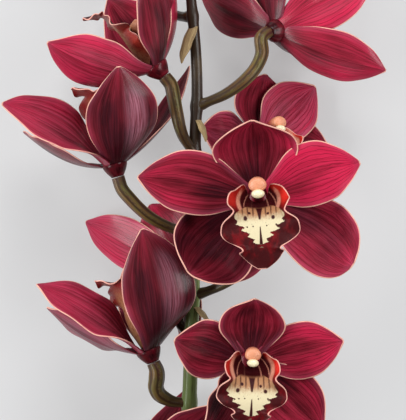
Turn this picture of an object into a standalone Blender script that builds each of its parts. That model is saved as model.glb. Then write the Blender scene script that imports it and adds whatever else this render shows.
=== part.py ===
"""A cut stem of a dark red cymbidium orchid, lying on a surface.

The stem runs along +Y with its cut end at -Y, +X is to the right of the spike
and +Z points up from the surface. Lengths below are in millimetres, measured
from a point on the spike; ORIGIN carries them to the part's own frame.
"""

import math
from dataclasses import dataclass

import bmesh
import bpy
import numpy as np

MM = 0.001
ORIGIN = (4.0, 26.0)

# Stem: x, y, z and radius at stations from the cut end to the top of the spike.
STEM = (
    (-14, -250, 4, 4.0),
    (-13, -220, 9, 4.0),
    (-10, -180, 20, 3.9),
    (-8, -140, 32, 3.8),
    (-7, -100, 41, 3.7),
    (-6, -70, 44, 3.6),
    (-5, -35, 46, 3.4),
    (-4, 0, 46, 3.1),
    (-4, 35, 46, 2.9),
    (-3, 60, 46, 2.8),
    (-4, 85, 46, 2.7),
    (-6, 105, 45, 2.6),
    (-8, 130, 44, 2.3),
    (-9, 155, 43, 1.9),
)
STEM_SIDES = 9
STEM_RINGS = 22

# A blade is this thick; where it would pass below the surface it lies on it.
BLADE = 0.8
LIP_BLADE = 0.9
PRESS = 3.0

# Seating: every piece stands this far off the one that carries it.
SEAT = 0.3
LIP_SEAT = 0.5

# Receptacle: distance along the bloom's axis and radius.
HUB = ((-5.5, 3.2), (-1.5, 5.8), (0.8, 6.6), (2.5, 5.8))
HUB_SIDES = 10
CLAW_AT = 4.5

# Half-width of a tepal along its length, as a share of the widest half.
PETAL_FORM = (
    (0.0, 0.34),
    (0.15, 0.60),
    (0.31, 0.89),
    (0.50, 1.0),
    (0.69, 0.90),
    (0.80, 0.68),
    (0.90, 0.41),
    (1.0, 0.03),
)
SEPAL_FORM = (
    (0.0, 0.40),
    (0.15, 0.64),
    (0.30, 0.88),
    (0.52, 1.0),
    (0.76, 0.80),
    (0.86, 0.56),
    (0.93, 0.30),
    (1.0, 0.03),
)
SPOON_FORM = (
    (0.0, 0.34),
    (0.15, 0.52),
    (0.30, 0.78),
    (0.45, 0.94),
    (0.58, 1.0),
    (0.70, 0.98),
    (0.80, 0.90),
    (0.88, 0.75),
    (0.94, 0.55),
    (1.0, 0.06),
)
TEPAL_ROWS = (0.0, 0.14, 0.34, 0.54, 0.74, 0.90, 1.0)
TEPAL_COLUMNS = 4

# Lip: half-width in millimetres and half-angle of its section along its length.
LIP_HALF = (
    (0.0, 3.0),
    (0.06, 8.0),
    (0.145, 14.6),
    (0.25, 15.8),
    (0.363, 17.0),
    (0.456, 14.8),
    (0.52, 17.0),
    (0.58, 18.6),
    (0.64, 18.6),
    (0.70, 17.0),
    (0.77, 13.2),
    (0.82, 10.6),
    (0.88, 9.0),
    (0.94, 6.2),
    (1.0, 2.0),
)
LIP_ARC = (
    (0.0, 25.0),
    (0.06, 90.0),
    (0.145, 116.0),
    (0.25, 74.0),
    (0.363, 44.0),
    (0.456, 46.0),
    (0.52, 28.0),
    (0.58, 12.0),
    (1.0, 0.0),
)
LIP_ROWS = (0.0, 0.145, 0.25, 0.363, 0.456, 0.60, 0.74, 0.88, 1.0)
LIP_COLUMNS = 6

# Midlines in the bloom's own plane: forward along its axis, then up.
OPEN_LIP = ((2.8, -2.6), (11, -4), (21, -7), (26, -19), (22, -35))
CLOSED_LIP = ((2.8, -2.6), (13, -4), (26, -3), (37, -4), (43, -12))
OPEN_COLUMN = ((2.8, 2.4), (10, 5), (18, 6), (25, 4.8))
COLUMN_RADII = (2.3, 2.8, 3.6, 4.2)
COLUMN_SIDES = 7

PEDICEL_SIDES = 8
PEDICEL_RINGS = 9


@dataclass(frozen=True)
class Tepal:
    """One blade: its tip from the bloom's centre, and how it is bent."""

    tip: tuple
    width: float
    belly: float = 5.0
    hook: float = 4.0
    cup: float = 28.0
    roll: float = 0.0
    petal: bool = False
    spoon: bool = False
    bow: float = 0.0
    depth: float = 0.4


@dataclass(frozen=True)
class Bloom:
    """One flower: its centre, the way it faces, its stalk and its blades."""

    number: int
    centre: tuple
    facing: tuple
    joint: float
    stalk: tuple
    stalk_radius: float
    dorsal: Tepal
    petals: tuple
    sepals: tuple
    lip: tuple = CLOSED_LIP
    size: float = 1.0


BLOOMS = (
    Bloom(
        1, (-30, -130, 42), (-6, 5, 6), -158, ((-15, -150, 32), (-22, -141, 34)), 3.6,
        dorsal=Tepal((22, 38, -34), 30, 5, 4, 30),
        petals=(Tepal((36, 34, 27), 28, 4, 3, 22, 60, petal=True), Tepal((-38, -14, 38), 30, 5, 3, 22, petal=True)),
        sepals=(Tepal((-46, -4, -26), 32), Tepal((-12, -46, 12), 32)),
        lip=CLOSED_LIP, size=0.9,
    ),
    Bloom(
        2, (23, -75, 68), (1, 0, 20), -118, ((3, -108, 42), (14, -98, 47), (21, -86, 52)), 3.6,
        dorsal=Tepal((2, 32, 14), 34, 5, 3, 25),
        petals=(Tepal((-37, 12, 12), 30, 3, 2, 15, petal=True), Tepal((46, 11, 6), 29, 3, 2, 15, petal=True)),
        sepals=(Tepal((-22, -36, 14), 30, 5, 4, 30, roll=-40), Tepal((36, -33, 6), 33, 5, 4, 22)),
        lip=OPEN_LIP, size=0.9,
    ),
    Bloom(
        3, (-27, -71, 49), (-7, 17, 0), -97, ((-16, -96, 43), (-23, -91, 46)), 4.0,
        dorsal=Tepal((5, 52, -10), 34, 6, 5, 30),
        petals=(Tepal((-3, 62, 22), 38, 10, 6, 26, -38, petal=True), Tepal((-10, 48, -25), 28, 5, 4, 28, 12, petal=True)),
        sepals=(Tepal((-56, 34, 8), 36, -3, -2, 22, -38), Tepal((-52, 22, -14), 28, 5, 4, 28, 40)),
    ),
    Bloom(
        4, (-8, -31, 27), (-2, 6, -19), -64, ((-12, -56, 39), (-11, -46, 37), (-8, -38, 35)), 3.0,
        dorsal=Tepal((46, 16, -12), 30, 4, 3, 20),
        petals=(Tepal((-19, 34, -10), 32, 5, 3, 20, petal=True), Tepal((-2, -42, -14), 22, 4, 3, 16, 60, petal=True)),
        sepals=(Tepal((-53, 25, -22), 27, 4, 3, 20), Tepal((-30, -32, -22), 28, 5, 3, 20)),
        lip=OPEN_LIP, size=0.85,
    ),
    Bloom(
        5, (27, 6, 76), (-1, 1, 40), -43,
        ((4, -40, 48), (14, -35, 52), (22, -28, 55), (26, -14, 58)), 2.6,
        dorsal=Tepal((-3, 37, 22), 44, 9, 8, 40),
        petals=(
            Tepal((-59, 10, 8), 32, 2, 2, 15, petal=True, bow=-2, depth=0.8),
            Tepal((49, 17, 14), 32, 3, 2, 15, petal=True, bow=2.6, depth=1.2),
        ),
        sepals=(
            Tepal((-34, -37, 8), 46, 10, 9, 44, spoon=True, depth=-0.8),
            Tepal((46, -33, 8), 37, 8, 5, 25, spoon=True, bow=3, depth=-0.8),
        ),
        lip=OPEN_LIP,
    ),
    Bloom(
        6, (-44, 22, 48), (-5, 19, 0), -12, ((-16, -9, 45), (-26, -4, 47), (-35, 4, 48)), 3.2,
        dorsal=Tepal((37, 52, -28), 26, 6, 5, 26),
        petals=(Tepal((3, 48, 34), 38, 7, 5, 32, -15, petal=True), Tepal((3, 36, -52), 34, 6, 4, 30, petal=True)),
        sepals=(Tepal((-56, 31, 10), 42, -4, -3, 22, -40), Tepal((-48, 18, -26), 32, 6, 4, 28, 25)),
    ),
    Bloom(
        7, (29, 35, 20), (6, 3, 10), -6, ((4, 3, 40), (11, 20, 28)), 3.0,
        dorsal=Tepal((3, 35, -4), 34, 5, 4, 25),
        petals=(Tepal((-30, 7, 10), 28, 6, 6, 34, petal=True), Tepal((29, 29, -10), 32, 4, 3, 20, petal=True)),
        sepals=(Tepal((2, -38, -4), 28, 5, 4, 25), Tepal((37, -4, -10), 34, 5, 4, 25)),
        lip=OPEN_LIP, size=0.85,
    ),
    Bloom(
        8, (-23, 71, 50), (-13, 15, 0), 28, ((-10, 37, 50), (-13, 48, 52), (-15, 58, 51)), 3.4,
        dorsal=Tepal((5, 52, -2), 28, 6, 5, 30),
        petals=(Tepal((-6, 50, 30), 32, 6, 5, 32, petal=True), Tepal((-26, 38, -38), 32, 6, 4, 30, petal=True)),
        sepals=(Tepal((-54, 12, 14), 32, 6, 4, 30, 35), Tepal((-46, 12, -34), 32, 6, 4, 30)),
    ),
    Bloom(
        9, (36, 90, 42), (12, 3, -15), 52, ((13, 59, 49), (22, 66, 50), (29, 76, 49)), 3.4,
        dorsal=Tepal((-2, 48, -24), 34, 5, 4, 25),
        petals=(Tepal((-37, 22, -30), 28, 4, 3, 20, petal=True), Tepal((50, 28, 4), 30, 4, 3, 22, petal=True)),
        sepals=(Tepal((28, -8, -50), 28, 5, 4, 25), Tepal((56, -20, 2), 27, 6, 4, 28)),
        size=0.95,
    ),
    Bloom(
        10, (-30, 147, 32), (-2, 9, 1), 97, ((-12, 98, 36), (-20, 103, 26), (-28, 122, 25)), 2.8,
        dorsal=Tepal((13, 52, -6), 30, 6, 5, 30),
        petals=(Tepal((-8, 45, 32), 32, 6, 5, 30, petal=True), Tepal((-8, 42, -28), 32, 6, 4, 30, petal=True)),
        sepals=(Tepal((-50, 24, 12), 32, 6, 5, 30), Tepal((-44, 18, -22), 32, 6, 4, 28)),
        size=0.9,
    ),
)


@dataclass(frozen=True)
class Bud:
    """A closed bud: its foot on the spike, its two ends and its girth."""

    number: int
    joint: float
    stalk: tuple
    foot: tuple
    tip: tuple
    radius: float


BUDS = (
    Bud(11, 128, ((-2, 134, 48),), (5, 142, 50), (15, 166, 52), 6.0),
)

# The bud that closes the spike: its tip and its girth.
LAST_BUD = ((-7, 180, 46), 4.5)

# Bracts: foot height, tip from the foot, width.
BRACTS = (
    (-165, (-9, -13, -2), 9),
    (-124, (8, -12, 2), 8),
    (-104, (-9, -11, 2), 9),
    (-48, (7, -9, 4), 7),
    (-18, (-8, -10, -3), 7),
    (23, (-6, -10, 5), 6),
    (46, (7, -10, 4), 6),
    (92, (-5, -19, 5), 9),
    (-195, (5, 30, 6), 13),
    (-228, (-5, 32, 6), 14),
)

GREEN = (0.21, 0.29, 0.08, 1.0)
OLIVE = (0.22, 0.16, 0.06, 1.0)
BURGUNDY = (0.20, 0.010, 0.035, 1.0)
CRIMSON = (0.33, 0.012, 0.014, 1.0)
CREAM = (0.72, 0.55, 0.36, 1.0)
BUD_GREEN = (0.25, 0.14, 0.08, 1.0)


def unit(vector):
    """Return the vector at length one."""
    vector = np.asarray(vector, dtype=float)
    return vector / np.linalg.norm(vector)


def spline(stations, share):
    """Return points of a smooth curve through the stations at shares 0 to 1."""
    points = np.asarray(stations, dtype=float)
    steps = np.linalg.norm(np.diff(points[:, :3], axis=0), axis=1)
    knots = np.concatenate(([0.0], np.cumsum(steps)))
    slopes = np.gradient(points, knots, axis=0)
    at = np.clip(np.asarray(share, dtype=float), 0.0, 1.0) * knots[-1]
    left = np.clip(np.searchsorted(knots, at, side="right") - 1, 0, len(knots) - 2)
    gap = knots[left + 1] - knots[left]
    t = ((at - knots[left]) / gap)[:, None]
    gap = gap[:, None]
    return (
        (2 * t**3 - 3 * t**2 + 1) * points[left]
        + (t**3 - 2 * t**2 + t) * gap * slopes[left]
        + (3 * t**2 - 2 * t**3) * points[left + 1]
        + (t**3 - t**2) * gap * slopes[left + 1]
    )


def table(rows, share):
    """Return a value read off a smooth curve through (share, value) rows."""
    rows = np.asarray(rows, dtype=float)
    slopes = np.gradient(rows[:, 1], rows[:, 0])
    at = np.asarray(share, dtype=float)
    left = np.clip(np.searchsorted(rows[:, 0], at, side="right") - 1, 0, len(rows) - 2)
    gap = rows[left + 1, 0] - rows[left, 0]
    t = (at - rows[left, 0]) / gap
    return (
        (2 * t**3 - 3 * t**2 + 1) * rows[left, 1]
        + (t**3 - 2 * t**2 + t) * gap * slopes[left]
        + (3 * t**2 - 2 * t**3) * rows[left + 1, 1]
        + (t**3 - t**2) * gap * slopes[left + 1]
    )


def pressed(points, rest):
    """Return the points with none lower than the resting height."""
    out = np.array(points, dtype=float)
    low = out[..., 2] - rest
    out[..., 2] = rest + 0.5 * (low + np.sqrt(low**2 + PRESS**2))
    return out


def frames(points, start):
    """Return tangents and two cross axes carried along a path without twist."""
    tangents = np.gradient(points, axis=0)
    tangents /= np.linalg.norm(tangents, axis=1)[:, None]
    axis = np.asarray(start, dtype=float)
    first, second = [], []
    for tangent in tangents:
        axis = unit(axis - tangent * axis.dot(tangent))
        first.append(axis)
        second.append(np.cross(tangent, axis))
    return tangents, np.array(first), np.array(second)


def tube(points, radii, sides, start=(0.0, 0.0, 1.0), flat=1.0):
    """Return vertices and faces of a closed round bar along the points."""
    _, first, second = frames(points, start)
    verts, faces = [], []
    turn = np.arange(sides) * 2.0 * math.pi / sides
    for point, radius, a, b in zip(points, radii, first, second):
        for angle in turn:
            verts.append(point + radius * (a * math.cos(angle) * flat + b * math.sin(angle)))
    for ring in range(len(points) - 1):
        for side in range(sides):
            other = (side + 1) % sides
            low = ring * sides
            faces.append((low + side, low + other, low + sides + other, low + sides + side))
    faces.append(tuple(range(sides - 1, -1, -1)))
    top = (len(points) - 1) * sides
    faces.append(tuple(range(top, top + sides)))
    return np.array(verts), faces


def leaf(mid, across, face, half, arc, thick, columns, rest=True):
    """Return vertices and faces of a closed curved blade.

    Each row of the blade is an arc of the given half-width and half-angle,
    centred on the midline and curling towards the face.
    """
    u = np.linspace(-1.0, 1.0, columns + 1)
    arc = np.maximum(np.asarray(arc, dtype=float), 0.01)[:, None]
    half = np.asarray(half, dtype=float)[:, None]
    side = half * np.sin(arc * u) / arc
    lift = half * (1.0 - np.cos(arc * u)) / arc
    sheet = mid[:, None, :] + side[..., None] * across[:, None, :] + lift[..., None] * face[:, None, :]
    if rest:
        sheet = pressed(sheet, thick / 2.0)
    along = np.gradient(sheet, axis=0)
    over = np.gradient(sheet, axis=1)
    normal = np.cross(along, over)
    normal /= np.linalg.norm(normal, axis=2)[..., None]
    rows, cols = sheet.shape[:2]
    count = rows * cols
    verts = np.concatenate(((sheet + normal * thick / 2).reshape(-1, 3), (sheet - normal * thick / 2).reshape(-1, 3)))
    faces = []
    for i in range(rows - 1):
        for j in range(cols - 1):
            a, b = i * cols + j, i * cols + j + 1
            c, d = b + cols, a + cols
            faces.append((a, b, c, d))
            faces.append((count + d, count + c, count + b, count + a))
    rim = [j for j in range(cols)]
    rim += [i * cols + cols - 1 for i in range(1, rows)]
    rim += [(rows - 1) * cols + j for j in range(cols - 2, -1, -1)]
    rim += [i * cols for i in range(rows - 2, 0, -1)]
    for k, a in enumerate(rim):
        b = rim[(k + 1) % len(rim)]
        faces.append((a, count + a, count + b, b))
    return verts, faces


def paint(name, colour, roughness):
    """Return a new surface of one colour."""
    material = bpy.data.materials.new(name)
    material.use_nodes = True
    shader = material.node_tree.nodes["Principled BSDF"]
    shader.inputs["Base Color"].default_value = colour
    shader.inputs["Roughness"].default_value = roughness
    material.diffuse_color = colour
    return material


def solid(name, verts, faces, colour=None, roughness=0.5):
    """Return an object holding the closed body, moved to the part's frame."""
    mesh = bpy.data.meshes.new(name)
    placed = (np.asarray(verts) + np.array([ORIGIN[0], ORIGIN[1], 0.0])) * MM
    mesh.from_pydata([tuple(v) for v in placed], [], [tuple(f) for f in faces])
    shape = bmesh.new()
    shape.from_mesh(mesh)
    bmesh.ops.recalc_face_normals(shape, faces=shape.faces)
    shape.to_mesh(mesh)
    shape.free()
    finish(mesh)
    body = bpy.data.objects.new(name, mesh)
    bpy.context.scene.collection.objects.link(body)
    if colour is not None:
        mesh.materials.append(paint(name, colour, roughness))
    return body


def finish(mesh):
    """Shade the mesh smooth, with its sharp edges kept."""
    mesh.polygons.foreach_set("use_smooth", [True] * len(mesh.polygons))
    mesh.set_sharp_from_angle(angle=math.radians(50))


def combine(body, tools, operation, solver="EXACT"):
    """Fuse the tools with the body, or cut them from it, and drop them."""
    group = bpy.data.collections.new(body.name + "_tools")
    for tool in tools:
        bpy.context.scene.collection.objects.unlink(tool)
        group.objects.link(tool)
        tool.hide_render = True
        tool.display_type = "WIRE"
    step = body.modifiers.new("combine", "BOOLEAN")
    step.operation = operation
    step.operand_type = "COLLECTION"
    step.collection = group
    step.solver = solver
    bpy.context.view_layer.update()
    view = body.evaluated_get(bpy.context.evaluated_depsgraph_get())
    made = bpy.data.meshes.new_from_object(view)
    body.modifiers.clear()
    old = body.data
    materials = list(old.materials)
    body.data = made
    made.materials.clear()
    for material in materials:
        made.materials.append(material)
    made.polygons.foreach_set("material_index", [0] * len(made.polygons))
    bpy.data.meshes.remove(old)
    made.name = body.name
    for tool in tools:
        bpy.data.objects.remove(tool, do_unlink=True)
    bpy.data.collections.remove(group)
    finish(made)
    return body


def stem_point(height):
    """Return the stem's axis point at a height along the spike."""
    rows = np.asarray(STEM, dtype=float)
    line = spline(rows, np.linspace(0.0, 1.0, 400))
    return np.array([np.interp(height, line[:, 1], line[:, k]) for k in range(3)])


def stem_tube(grow):
    """Return the stem's bar, thicker by the given amount."""
    line = spline(STEM, np.linspace(0.0, 1.0, STEM_RINGS))
    return tube(line[:, :3], line[:, 3] + grow, STEM_SIDES, start=(1.0, 0.0, 0.0))


def bract(index, joint, tip, width):
    """Return one papery scale standing on the stem below a joint."""
    foot = stem_point(joint)
    away = unit(np.array([tip[0], 0.0, tip[2]], dtype=float))
    radius = 2.6 if joint > 0 else 3.2
    start = foot + away * (radius - 1.0)
    end = foot + np.asarray(tip, dtype=float) + away * 1.5
    share = np.array([0.0, 0.35, 0.7, 1.0])
    chord = end - start
    mid = start + share[:, None] * chord + np.sin(share * math.pi)[:, None] * away * 1.5
    across = np.repeat(unit(np.cross(chord, away))[None, :], 4, axis=0)
    face = np.repeat(-away[None, :], 4, axis=0)
    half = width / 2.0 * np.array([0.8, 1.0, 0.7, 0.12])
    verts, faces = leaf(mid, across, face, half, np.radians([60, 55, 40, 10]), BLADE, 2, rest=False)
    return solid(f"bract_{index}", verts, faces)


def build_stem():
    """Build the stem with its bracts as one body."""
    verts, faces = stem_tube(0.0)
    stem = solid("stem", verts, faces, GREEN, 0.45)
    scales = [bract(index, *row) for index, row in enumerate(BRACTS)]
    return combine(stem, scales, "UNION")


def bloom_axes(bloom):
    """Return the bloom's centre, its axis, its up and its right."""
    centre = np.asarray(bloom.centre, dtype=float)
    axis = unit(bloom.facing)
    rise = np.asarray(bloom.dorsal.tip, dtype=float)
    up = unit(rise - axis * rise.dot(axis))
    return centre, axis, up, np.cross(up, axis)


def tepal_mesh(bloom, tepal, share, columns, name):
    """Build one blade of the bloom, running from inside its receptacle."""
    centre, axis, _, _ = bloom_axes(bloom)
    tip = np.asarray(tepal.tip, dtype=float)
    out = unit(tip - axis * tip.dot(axis))
    start = centre + out * CLAW_AT * bloom.size + axis * tepal.depth
    end = centre + tip
    chord = end - start
    across = unit(np.cross(axis, chord))
    face = unit(np.cross(chord, across))
    knee = start + chord / 3.0 - face * tepal.belly * 4.0 / 3.0
    bend = start + chord * 2.0 / 3.0 - face * tepal.hook * 4.0 / 3.0
    s = np.asarray(share)[:, None]
    mid = start * (1 - s) ** 3 + 3 * knee * s * (1 - s) ** 2 + 3 * bend * s**2 * (1 - s) + end * s**3
    mid = mid + across * tepal.bow * np.sin(np.pi * s)
    slope = 3 * (knee - start) * (1 - s) ** 2 + 6 * (bend - knee) * s * (1 - s) + 3 * (end - bend) * s**2
    slope /= np.linalg.norm(slope, axis=1)[:, None]
    normal = np.cross(slope, across[None, :])
    turn = math.radians(tepal.roll) * np.clip(s / 0.4, 0.0, 1.0)
    spread = across[None, :] * np.cos(turn) + normal * np.sin(turn)
    toward = normal * np.cos(turn) - across[None, :] * np.sin(turn)
    form = PETAL_FORM if tepal.petal else SPOON_FORM if tepal.spoon else SEPAL_FORM
    half = np.maximum(table(form, share) * tepal.width / 2.0, 0.5)
    arc = math.radians(tepal.cup) * (1.0 - 0.45 * np.asarray(share) ** 2)
    verts, faces = leaf(mid, spread, toward, half, arc, BLADE, columns)
    return solid(name, verts, faces)


def build_tepals(bloom):
    """Build the receptacle and its five tepals as one body.

    The blades cross one another at a flat angle near their feet, where the EXACT
    solver leaves some of them apart, so they are fused with MANIFOLD.
    """
    centre, axis, up, _ = bloom_axes(bloom)
    line = np.array([centre + axis * along for along, _ in HUB])
    radii = [radius * bloom.size if along > -5 else radius for along, radius in HUB]
    verts, faces = tube(line, radii, HUB_SIDES, start=up)
    label = f"bloom_{bloom.number:02d}_tepals"
    hub = solid(label, verts, faces, BURGUNDY, 0.4)
    blades = [bloom.dorsal, *bloom.petals, *bloom.sepals]
    share = np.array(TEPAL_ROWS)
    made = [tepal_mesh(bloom, b, share, TEPAL_COLUMNS, f"{label}_{i}") for i, b in enumerate(blades)]
    return combine(hub, made, "UNION", "MANIFOLD")


def build_lip(bloom):
    """Build the bloom's lip."""
    centre, axis, up, right = bloom_axes(bloom)
    share = np.array(LIP_ROWS)
    path = np.array([(f, r, 0.0) for f, r in bloom.lip], dtype=float)
    path[1:] *= bloom.size
    flat = spline(path, share)
    flat[0, 0] = HUB[-1][0] + LIP_SEAT
    mid = centre + flat[:, :1] * axis + flat[:, 1:2] * up
    slope = np.gradient(mid, axis=0)
    slope /= np.linalg.norm(slope, axis=1)[:, None]
    slope[0] = axis
    across = np.repeat(right[None, :], len(share), axis=0)
    face = np.cross(right[None, :], slope)
    if face[0].dot(up) < 0:
        face = -face
    half = table(LIP_HALF, share) * bloom.size * (1.0 if bloom.lip is OPEN_LIP else 0.85)
    arc = np.radians(table(LIP_ARC, share))
    verts, faces = leaf(mid, across, face, half, arc, LIP_BLADE, LIP_COLUMNS)
    return solid(f"bloom_{bloom.number:02d}_lip", verts, faces, CRIMSON, 0.4)


def build_column(bloom):
    """Build the bloom's column."""
    centre, axis, up, right = bloom_axes(bloom)
    path = np.array([(f, r, 0.0) for f, r in OPEN_COLUMN], dtype=float)
    path[1:] *= bloom.size
    flat = spline(path, np.linspace(0.0, 1.0, 5))
    mid = centre + flat[:, :1] * axis + flat[:, 1:2] * up
    radii = np.interp(np.linspace(0, 3, 5), range(4), COLUMN_RADII) * bloom.size
    mid[0] = centre + axis * (HUB[-1][0] + SEAT) + up * OPEN_COLUMN[0][1]
    _, first, second = frames(mid, right)
    verts, faces = tube(mid, radii, COLUMN_SIDES, start=right)
    turn = np.arange(COLUMN_SIDES) * 2.0 * math.pi / COLUMN_SIDES
    for k, angle in enumerate(turn):
        ring = radii[0] * (right * math.cos(angle) + np.cross(axis, right) * math.sin(angle))
        verts[k] = mid[0] + ring
    return solid(f"bloom_{bloom.number:02d}_column", verts, faces, CREAM, 0.35)


def stalk_line(joint, stalk, end, axis):
    """Return the stalk's centreline from the stem's axis to its top."""
    points = [stem_point(joint), *[np.asarray(p, dtype=float) for p in stalk]]
    points += [end - axis * 4.0, end]
    return spline(points, np.linspace(0.0, 1.0, PEDICEL_RINGS))


def build_stalk(name, joint, stalk, end, axis, radius, top):
    """Build one stalk, hollowed at its foot to sit against the stem."""
    line = stalk_line(joint, stalk, end, axis)
    share = np.linspace(0.0, 1.0, PEDICEL_RINGS)
    foot = min(2.2, radius * 0.8)
    radii = np.interp(share, (0.0, 0.12, 0.45, 0.8, 1.0), (foot, foot * 1.1, radius * 0.9, radius, top))
    verts, faces = tube(line, radii, PEDICEL_SIDES)
    lean = np.cross(axis, (0.0, 0.0, 1.0))
    first = unit(lean) if np.linalg.norm(lean) > 0.1 else np.array([1.0, 0.0, 0.0])
    second = np.cross(axis, first)
    ring = verts[-PEDICEL_SIDES:] - line[-1]
    ring -= np.outer(ring @ axis, axis)
    ring = ring / np.linalg.norm(ring, axis=1)[:, None] * top
    verts[-PEDICEL_SIDES:] = line[-1] + ring
    body = solid(name, verts, faces, OLIVE, 0.45)
    cutter = solid(name + "_cutter", *stem_tube(SEAT))
    return combine(body, [cutter], "DIFFERENCE")


def bud_body(name, foot, tip, radius):
    """Build the closed bud itself."""
    axis = unit(tip - foot)
    share = np.array([0.0, 0.1, 0.3, 0.5, 0.7, 0.88, 1.0])
    line = foot + share[:, None] * (tip - foot)
    radii = radius * np.array([0.36, 0.62, 0.94, 1.0, 0.86, 0.5, 0.12])
    verts, faces = tube(line, radii, 8)
    solid(name, verts, faces, BUD_GREEN, 0.4)
    return axis


def build_bud(bud):
    """Build one closed bud and its stalk."""
    foot = np.asarray(bud.foot, dtype=float)
    axis = bud_body(f"bud_{bud.number:02d}", foot, np.asarray(bud.tip, dtype=float), bud.radius)
    build_stalk(f"pedicel_{bud.number:02d}", bud.joint, bud.stalk, foot - axis * SEAT, axis, 1.8, 1.8)


def build_last_bud():
    """Build the bud standing on the top of the stem."""
    line = spline(STEM, np.linspace(0.0, 1.0, STEM_RINGS))[:, :3]
    foot = line[-1] + unit(line[-1] - line[-2]) * (SEAT + 0.1)
    bud_body("bud_12", foot, np.asarray(LAST_BUD[0], dtype=float), LAST_BUD[1])


def main():
    """Build the whole stem of blooms."""
    for old in list(bpy.data.objects):
        bpy.data.objects.remove(old, do_unlink=True)
    build_stem()
    for bloom in BLOOMS:
        centre, axis, _, _ = bloom_axes(bloom)
        foot = centre + axis * (HUB[0][0] - SEAT)
        name = f"pedicel_{bloom.number:02d}"
        build_stalk(name, bloom.joint, bloom.stalk, foot, axis, bloom.stalk_radius, HUB[0][1])
        build_tepals(bloom)
        build_lip(bloom)
        build_column(bloom)
    for bud in BUDS:
        build_bud(bud)
    build_last_bud()


main()
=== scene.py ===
"""Looks of a cut stem of dark red cymbidium orchid, lying on a surface and seen from above.

The stem runs along +Y, +X is to the right of the spike and +Z is up. Sizes are in
millimetres, measured from a point on the spike, as in the part's own source.
"""

import logging
import math
from dataclasses import dataclass, field
from enum import Enum
from typing import Callable

import bmesh
import bpy
import numpy as np
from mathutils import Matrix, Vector


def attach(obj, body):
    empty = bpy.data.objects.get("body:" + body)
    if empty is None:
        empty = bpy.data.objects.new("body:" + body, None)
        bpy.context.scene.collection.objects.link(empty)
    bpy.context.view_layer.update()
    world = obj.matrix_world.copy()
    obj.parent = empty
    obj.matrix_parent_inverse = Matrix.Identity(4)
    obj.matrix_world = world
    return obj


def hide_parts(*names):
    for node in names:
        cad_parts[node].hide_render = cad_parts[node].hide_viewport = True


MM = 0.001
BODY = "root"

# The point on the spike that sizes are measured from, in the part's frame.
ORIGIN = np.array([4.0, 26.0, 0.0])
# How far above the surface a blade starts to bend along it.
PRESS = 3.0
# Where the tepals start, out from the bloom's axis.
CLAW_AT = 4.5
# Gaps at the foot of a stalk, receptacle or column, and at the foot of a lip.
SEAT = 0.3
LIP_SEAT = 0.5
# Walls of the curved sheets.
TEPAL_WALL = 0.8
LIP_WALL = 0.65
BRACT_WALL = 0.6
# The receptacle: distance along the bloom's axis, and radius.
HUB = ((-5.5, 3.2), (-1.5, 5.8), (0.8, 6.6), (2.5, 5.8))

# The stem's axis and its radius.
STEM = (
    (-14, -250, 4, 4.0), (-13, -220, 9, 4.0), (-10, -180, 20, 3.9), (-8, -140, 32, 3.8),
    (-7, -100, 41, 3.7), (-6, -70, 44, 3.6), (-5, -35, 46, 3.4), (-4, 0, 46, 3.1), (-4, 35, 46, 2.9),
    (-3, 60, 46, 2.8), (-4, 85, 46, 2.7), (-6, 105, 45, 2.6), (-8, 130, 44, 2.3), (-9, 155, 43, 1.9),
)

# Outlines: share of the length, and share of the widest half.
PETAL_FORM = (
    (0.0, 0.34), (0.15, 0.60), (0.31, 0.89), (0.41, 0.98), (0.50, 1.0), (0.58, 0.985), (0.69, 0.90),
    (0.80, 0.68), (0.90, 0.41), (0.96, 0.19), (1.0, 0.03),
)
SEPAL_FORM = (
    (0.0, 0.40), (0.15, 0.64), (0.30, 0.88), (0.42, 0.98), (0.52, 1.0), (0.64, 0.95), (0.76, 0.80),
    (0.86, 0.56), (0.93, 0.30), (0.97, 0.14), (1.0, 0.03),
)
SPOON_FORM = (
    (0.0, 0.34), (0.15, 0.52), (0.30, 0.78), (0.45, 0.94), (0.58, 1.0), (0.70, 0.98), (0.80, 0.90),
    (0.88, 0.75), (0.94, 0.55), (0.98, 0.32), (1.0, 0.06),
)
# The lip: share of its length, with its half-width, then its half-angle in degrees.
LIP_HALF = (
    (0.0, 3.0), (0.06, 8.0), (0.145, 14.6), (0.25, 15.8), (0.363, 16.8), (0.43, 15.4), (0.47, 13.6),
    (0.495, 14.4), (0.52, 17.6), (0.58, 19.2), (0.65, 18.6), (0.71, 15.6), (0.75, 12.0), (0.77, 9.4),
    (0.79, 9.2), (0.81, 10.8), (0.86, 9.8), (0.93, 6.8), (1.0, 2.0),
)
LIP_ARC = (
    (0.0, 25.0), (0.06, 90.0), (0.145, 116.0), (0.25, 74.0), (0.363, 44.0), (0.456, 46.0), (0.52, 28.0),
    (0.58, 12.0), (1.0, 0.0),
)
# The column: its midline forward and up, and its radius at even steps.
COLUMN_PATH = ((2.8, 2.4), (10, 5), (18, 6), (25, 4.8))
COLUMN_RADII = (2.3, 2.8, 3.6, 4.2)
# Curls of the lip's margin: centre and breadth as shares of its length, and height.
LIP_CURLS = ((0.785, 0.022, 3.4), (0.49, 0.03, 2.4), (0.60, 0.05, -1.6), (0.92, 0.05, -1.4))
# A bud's girth, and a bract's width and half-angle, along their length.
BUD_GIRTH = ((0.0, 0.36), (0.1, 0.62), (0.3, 0.94), (0.5, 1.0), (0.7, 0.86), (0.88, 0.5), (1.0, 0.10))
BRACT_WIDTH = ((0.0, 0.8), (0.35, 1.0), (0.7, 0.7), (1.0, 0.08))
BRACT_ANGLE = ((0.0, 60.0), (0.35, 55.0), (0.7, 40.0), (1.0, 10.0))
STALK_RIBS = 6.0
BUD_SCALES = 3.0
STEM_FLUTES = 9.0
# A tepal's midline groove, the waves of its margins and its least half-width.
TEPAL_GROOVE = 0.45
TEPAL_WAVE = 0.7
LEAST_HALF = 0.25
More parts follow.
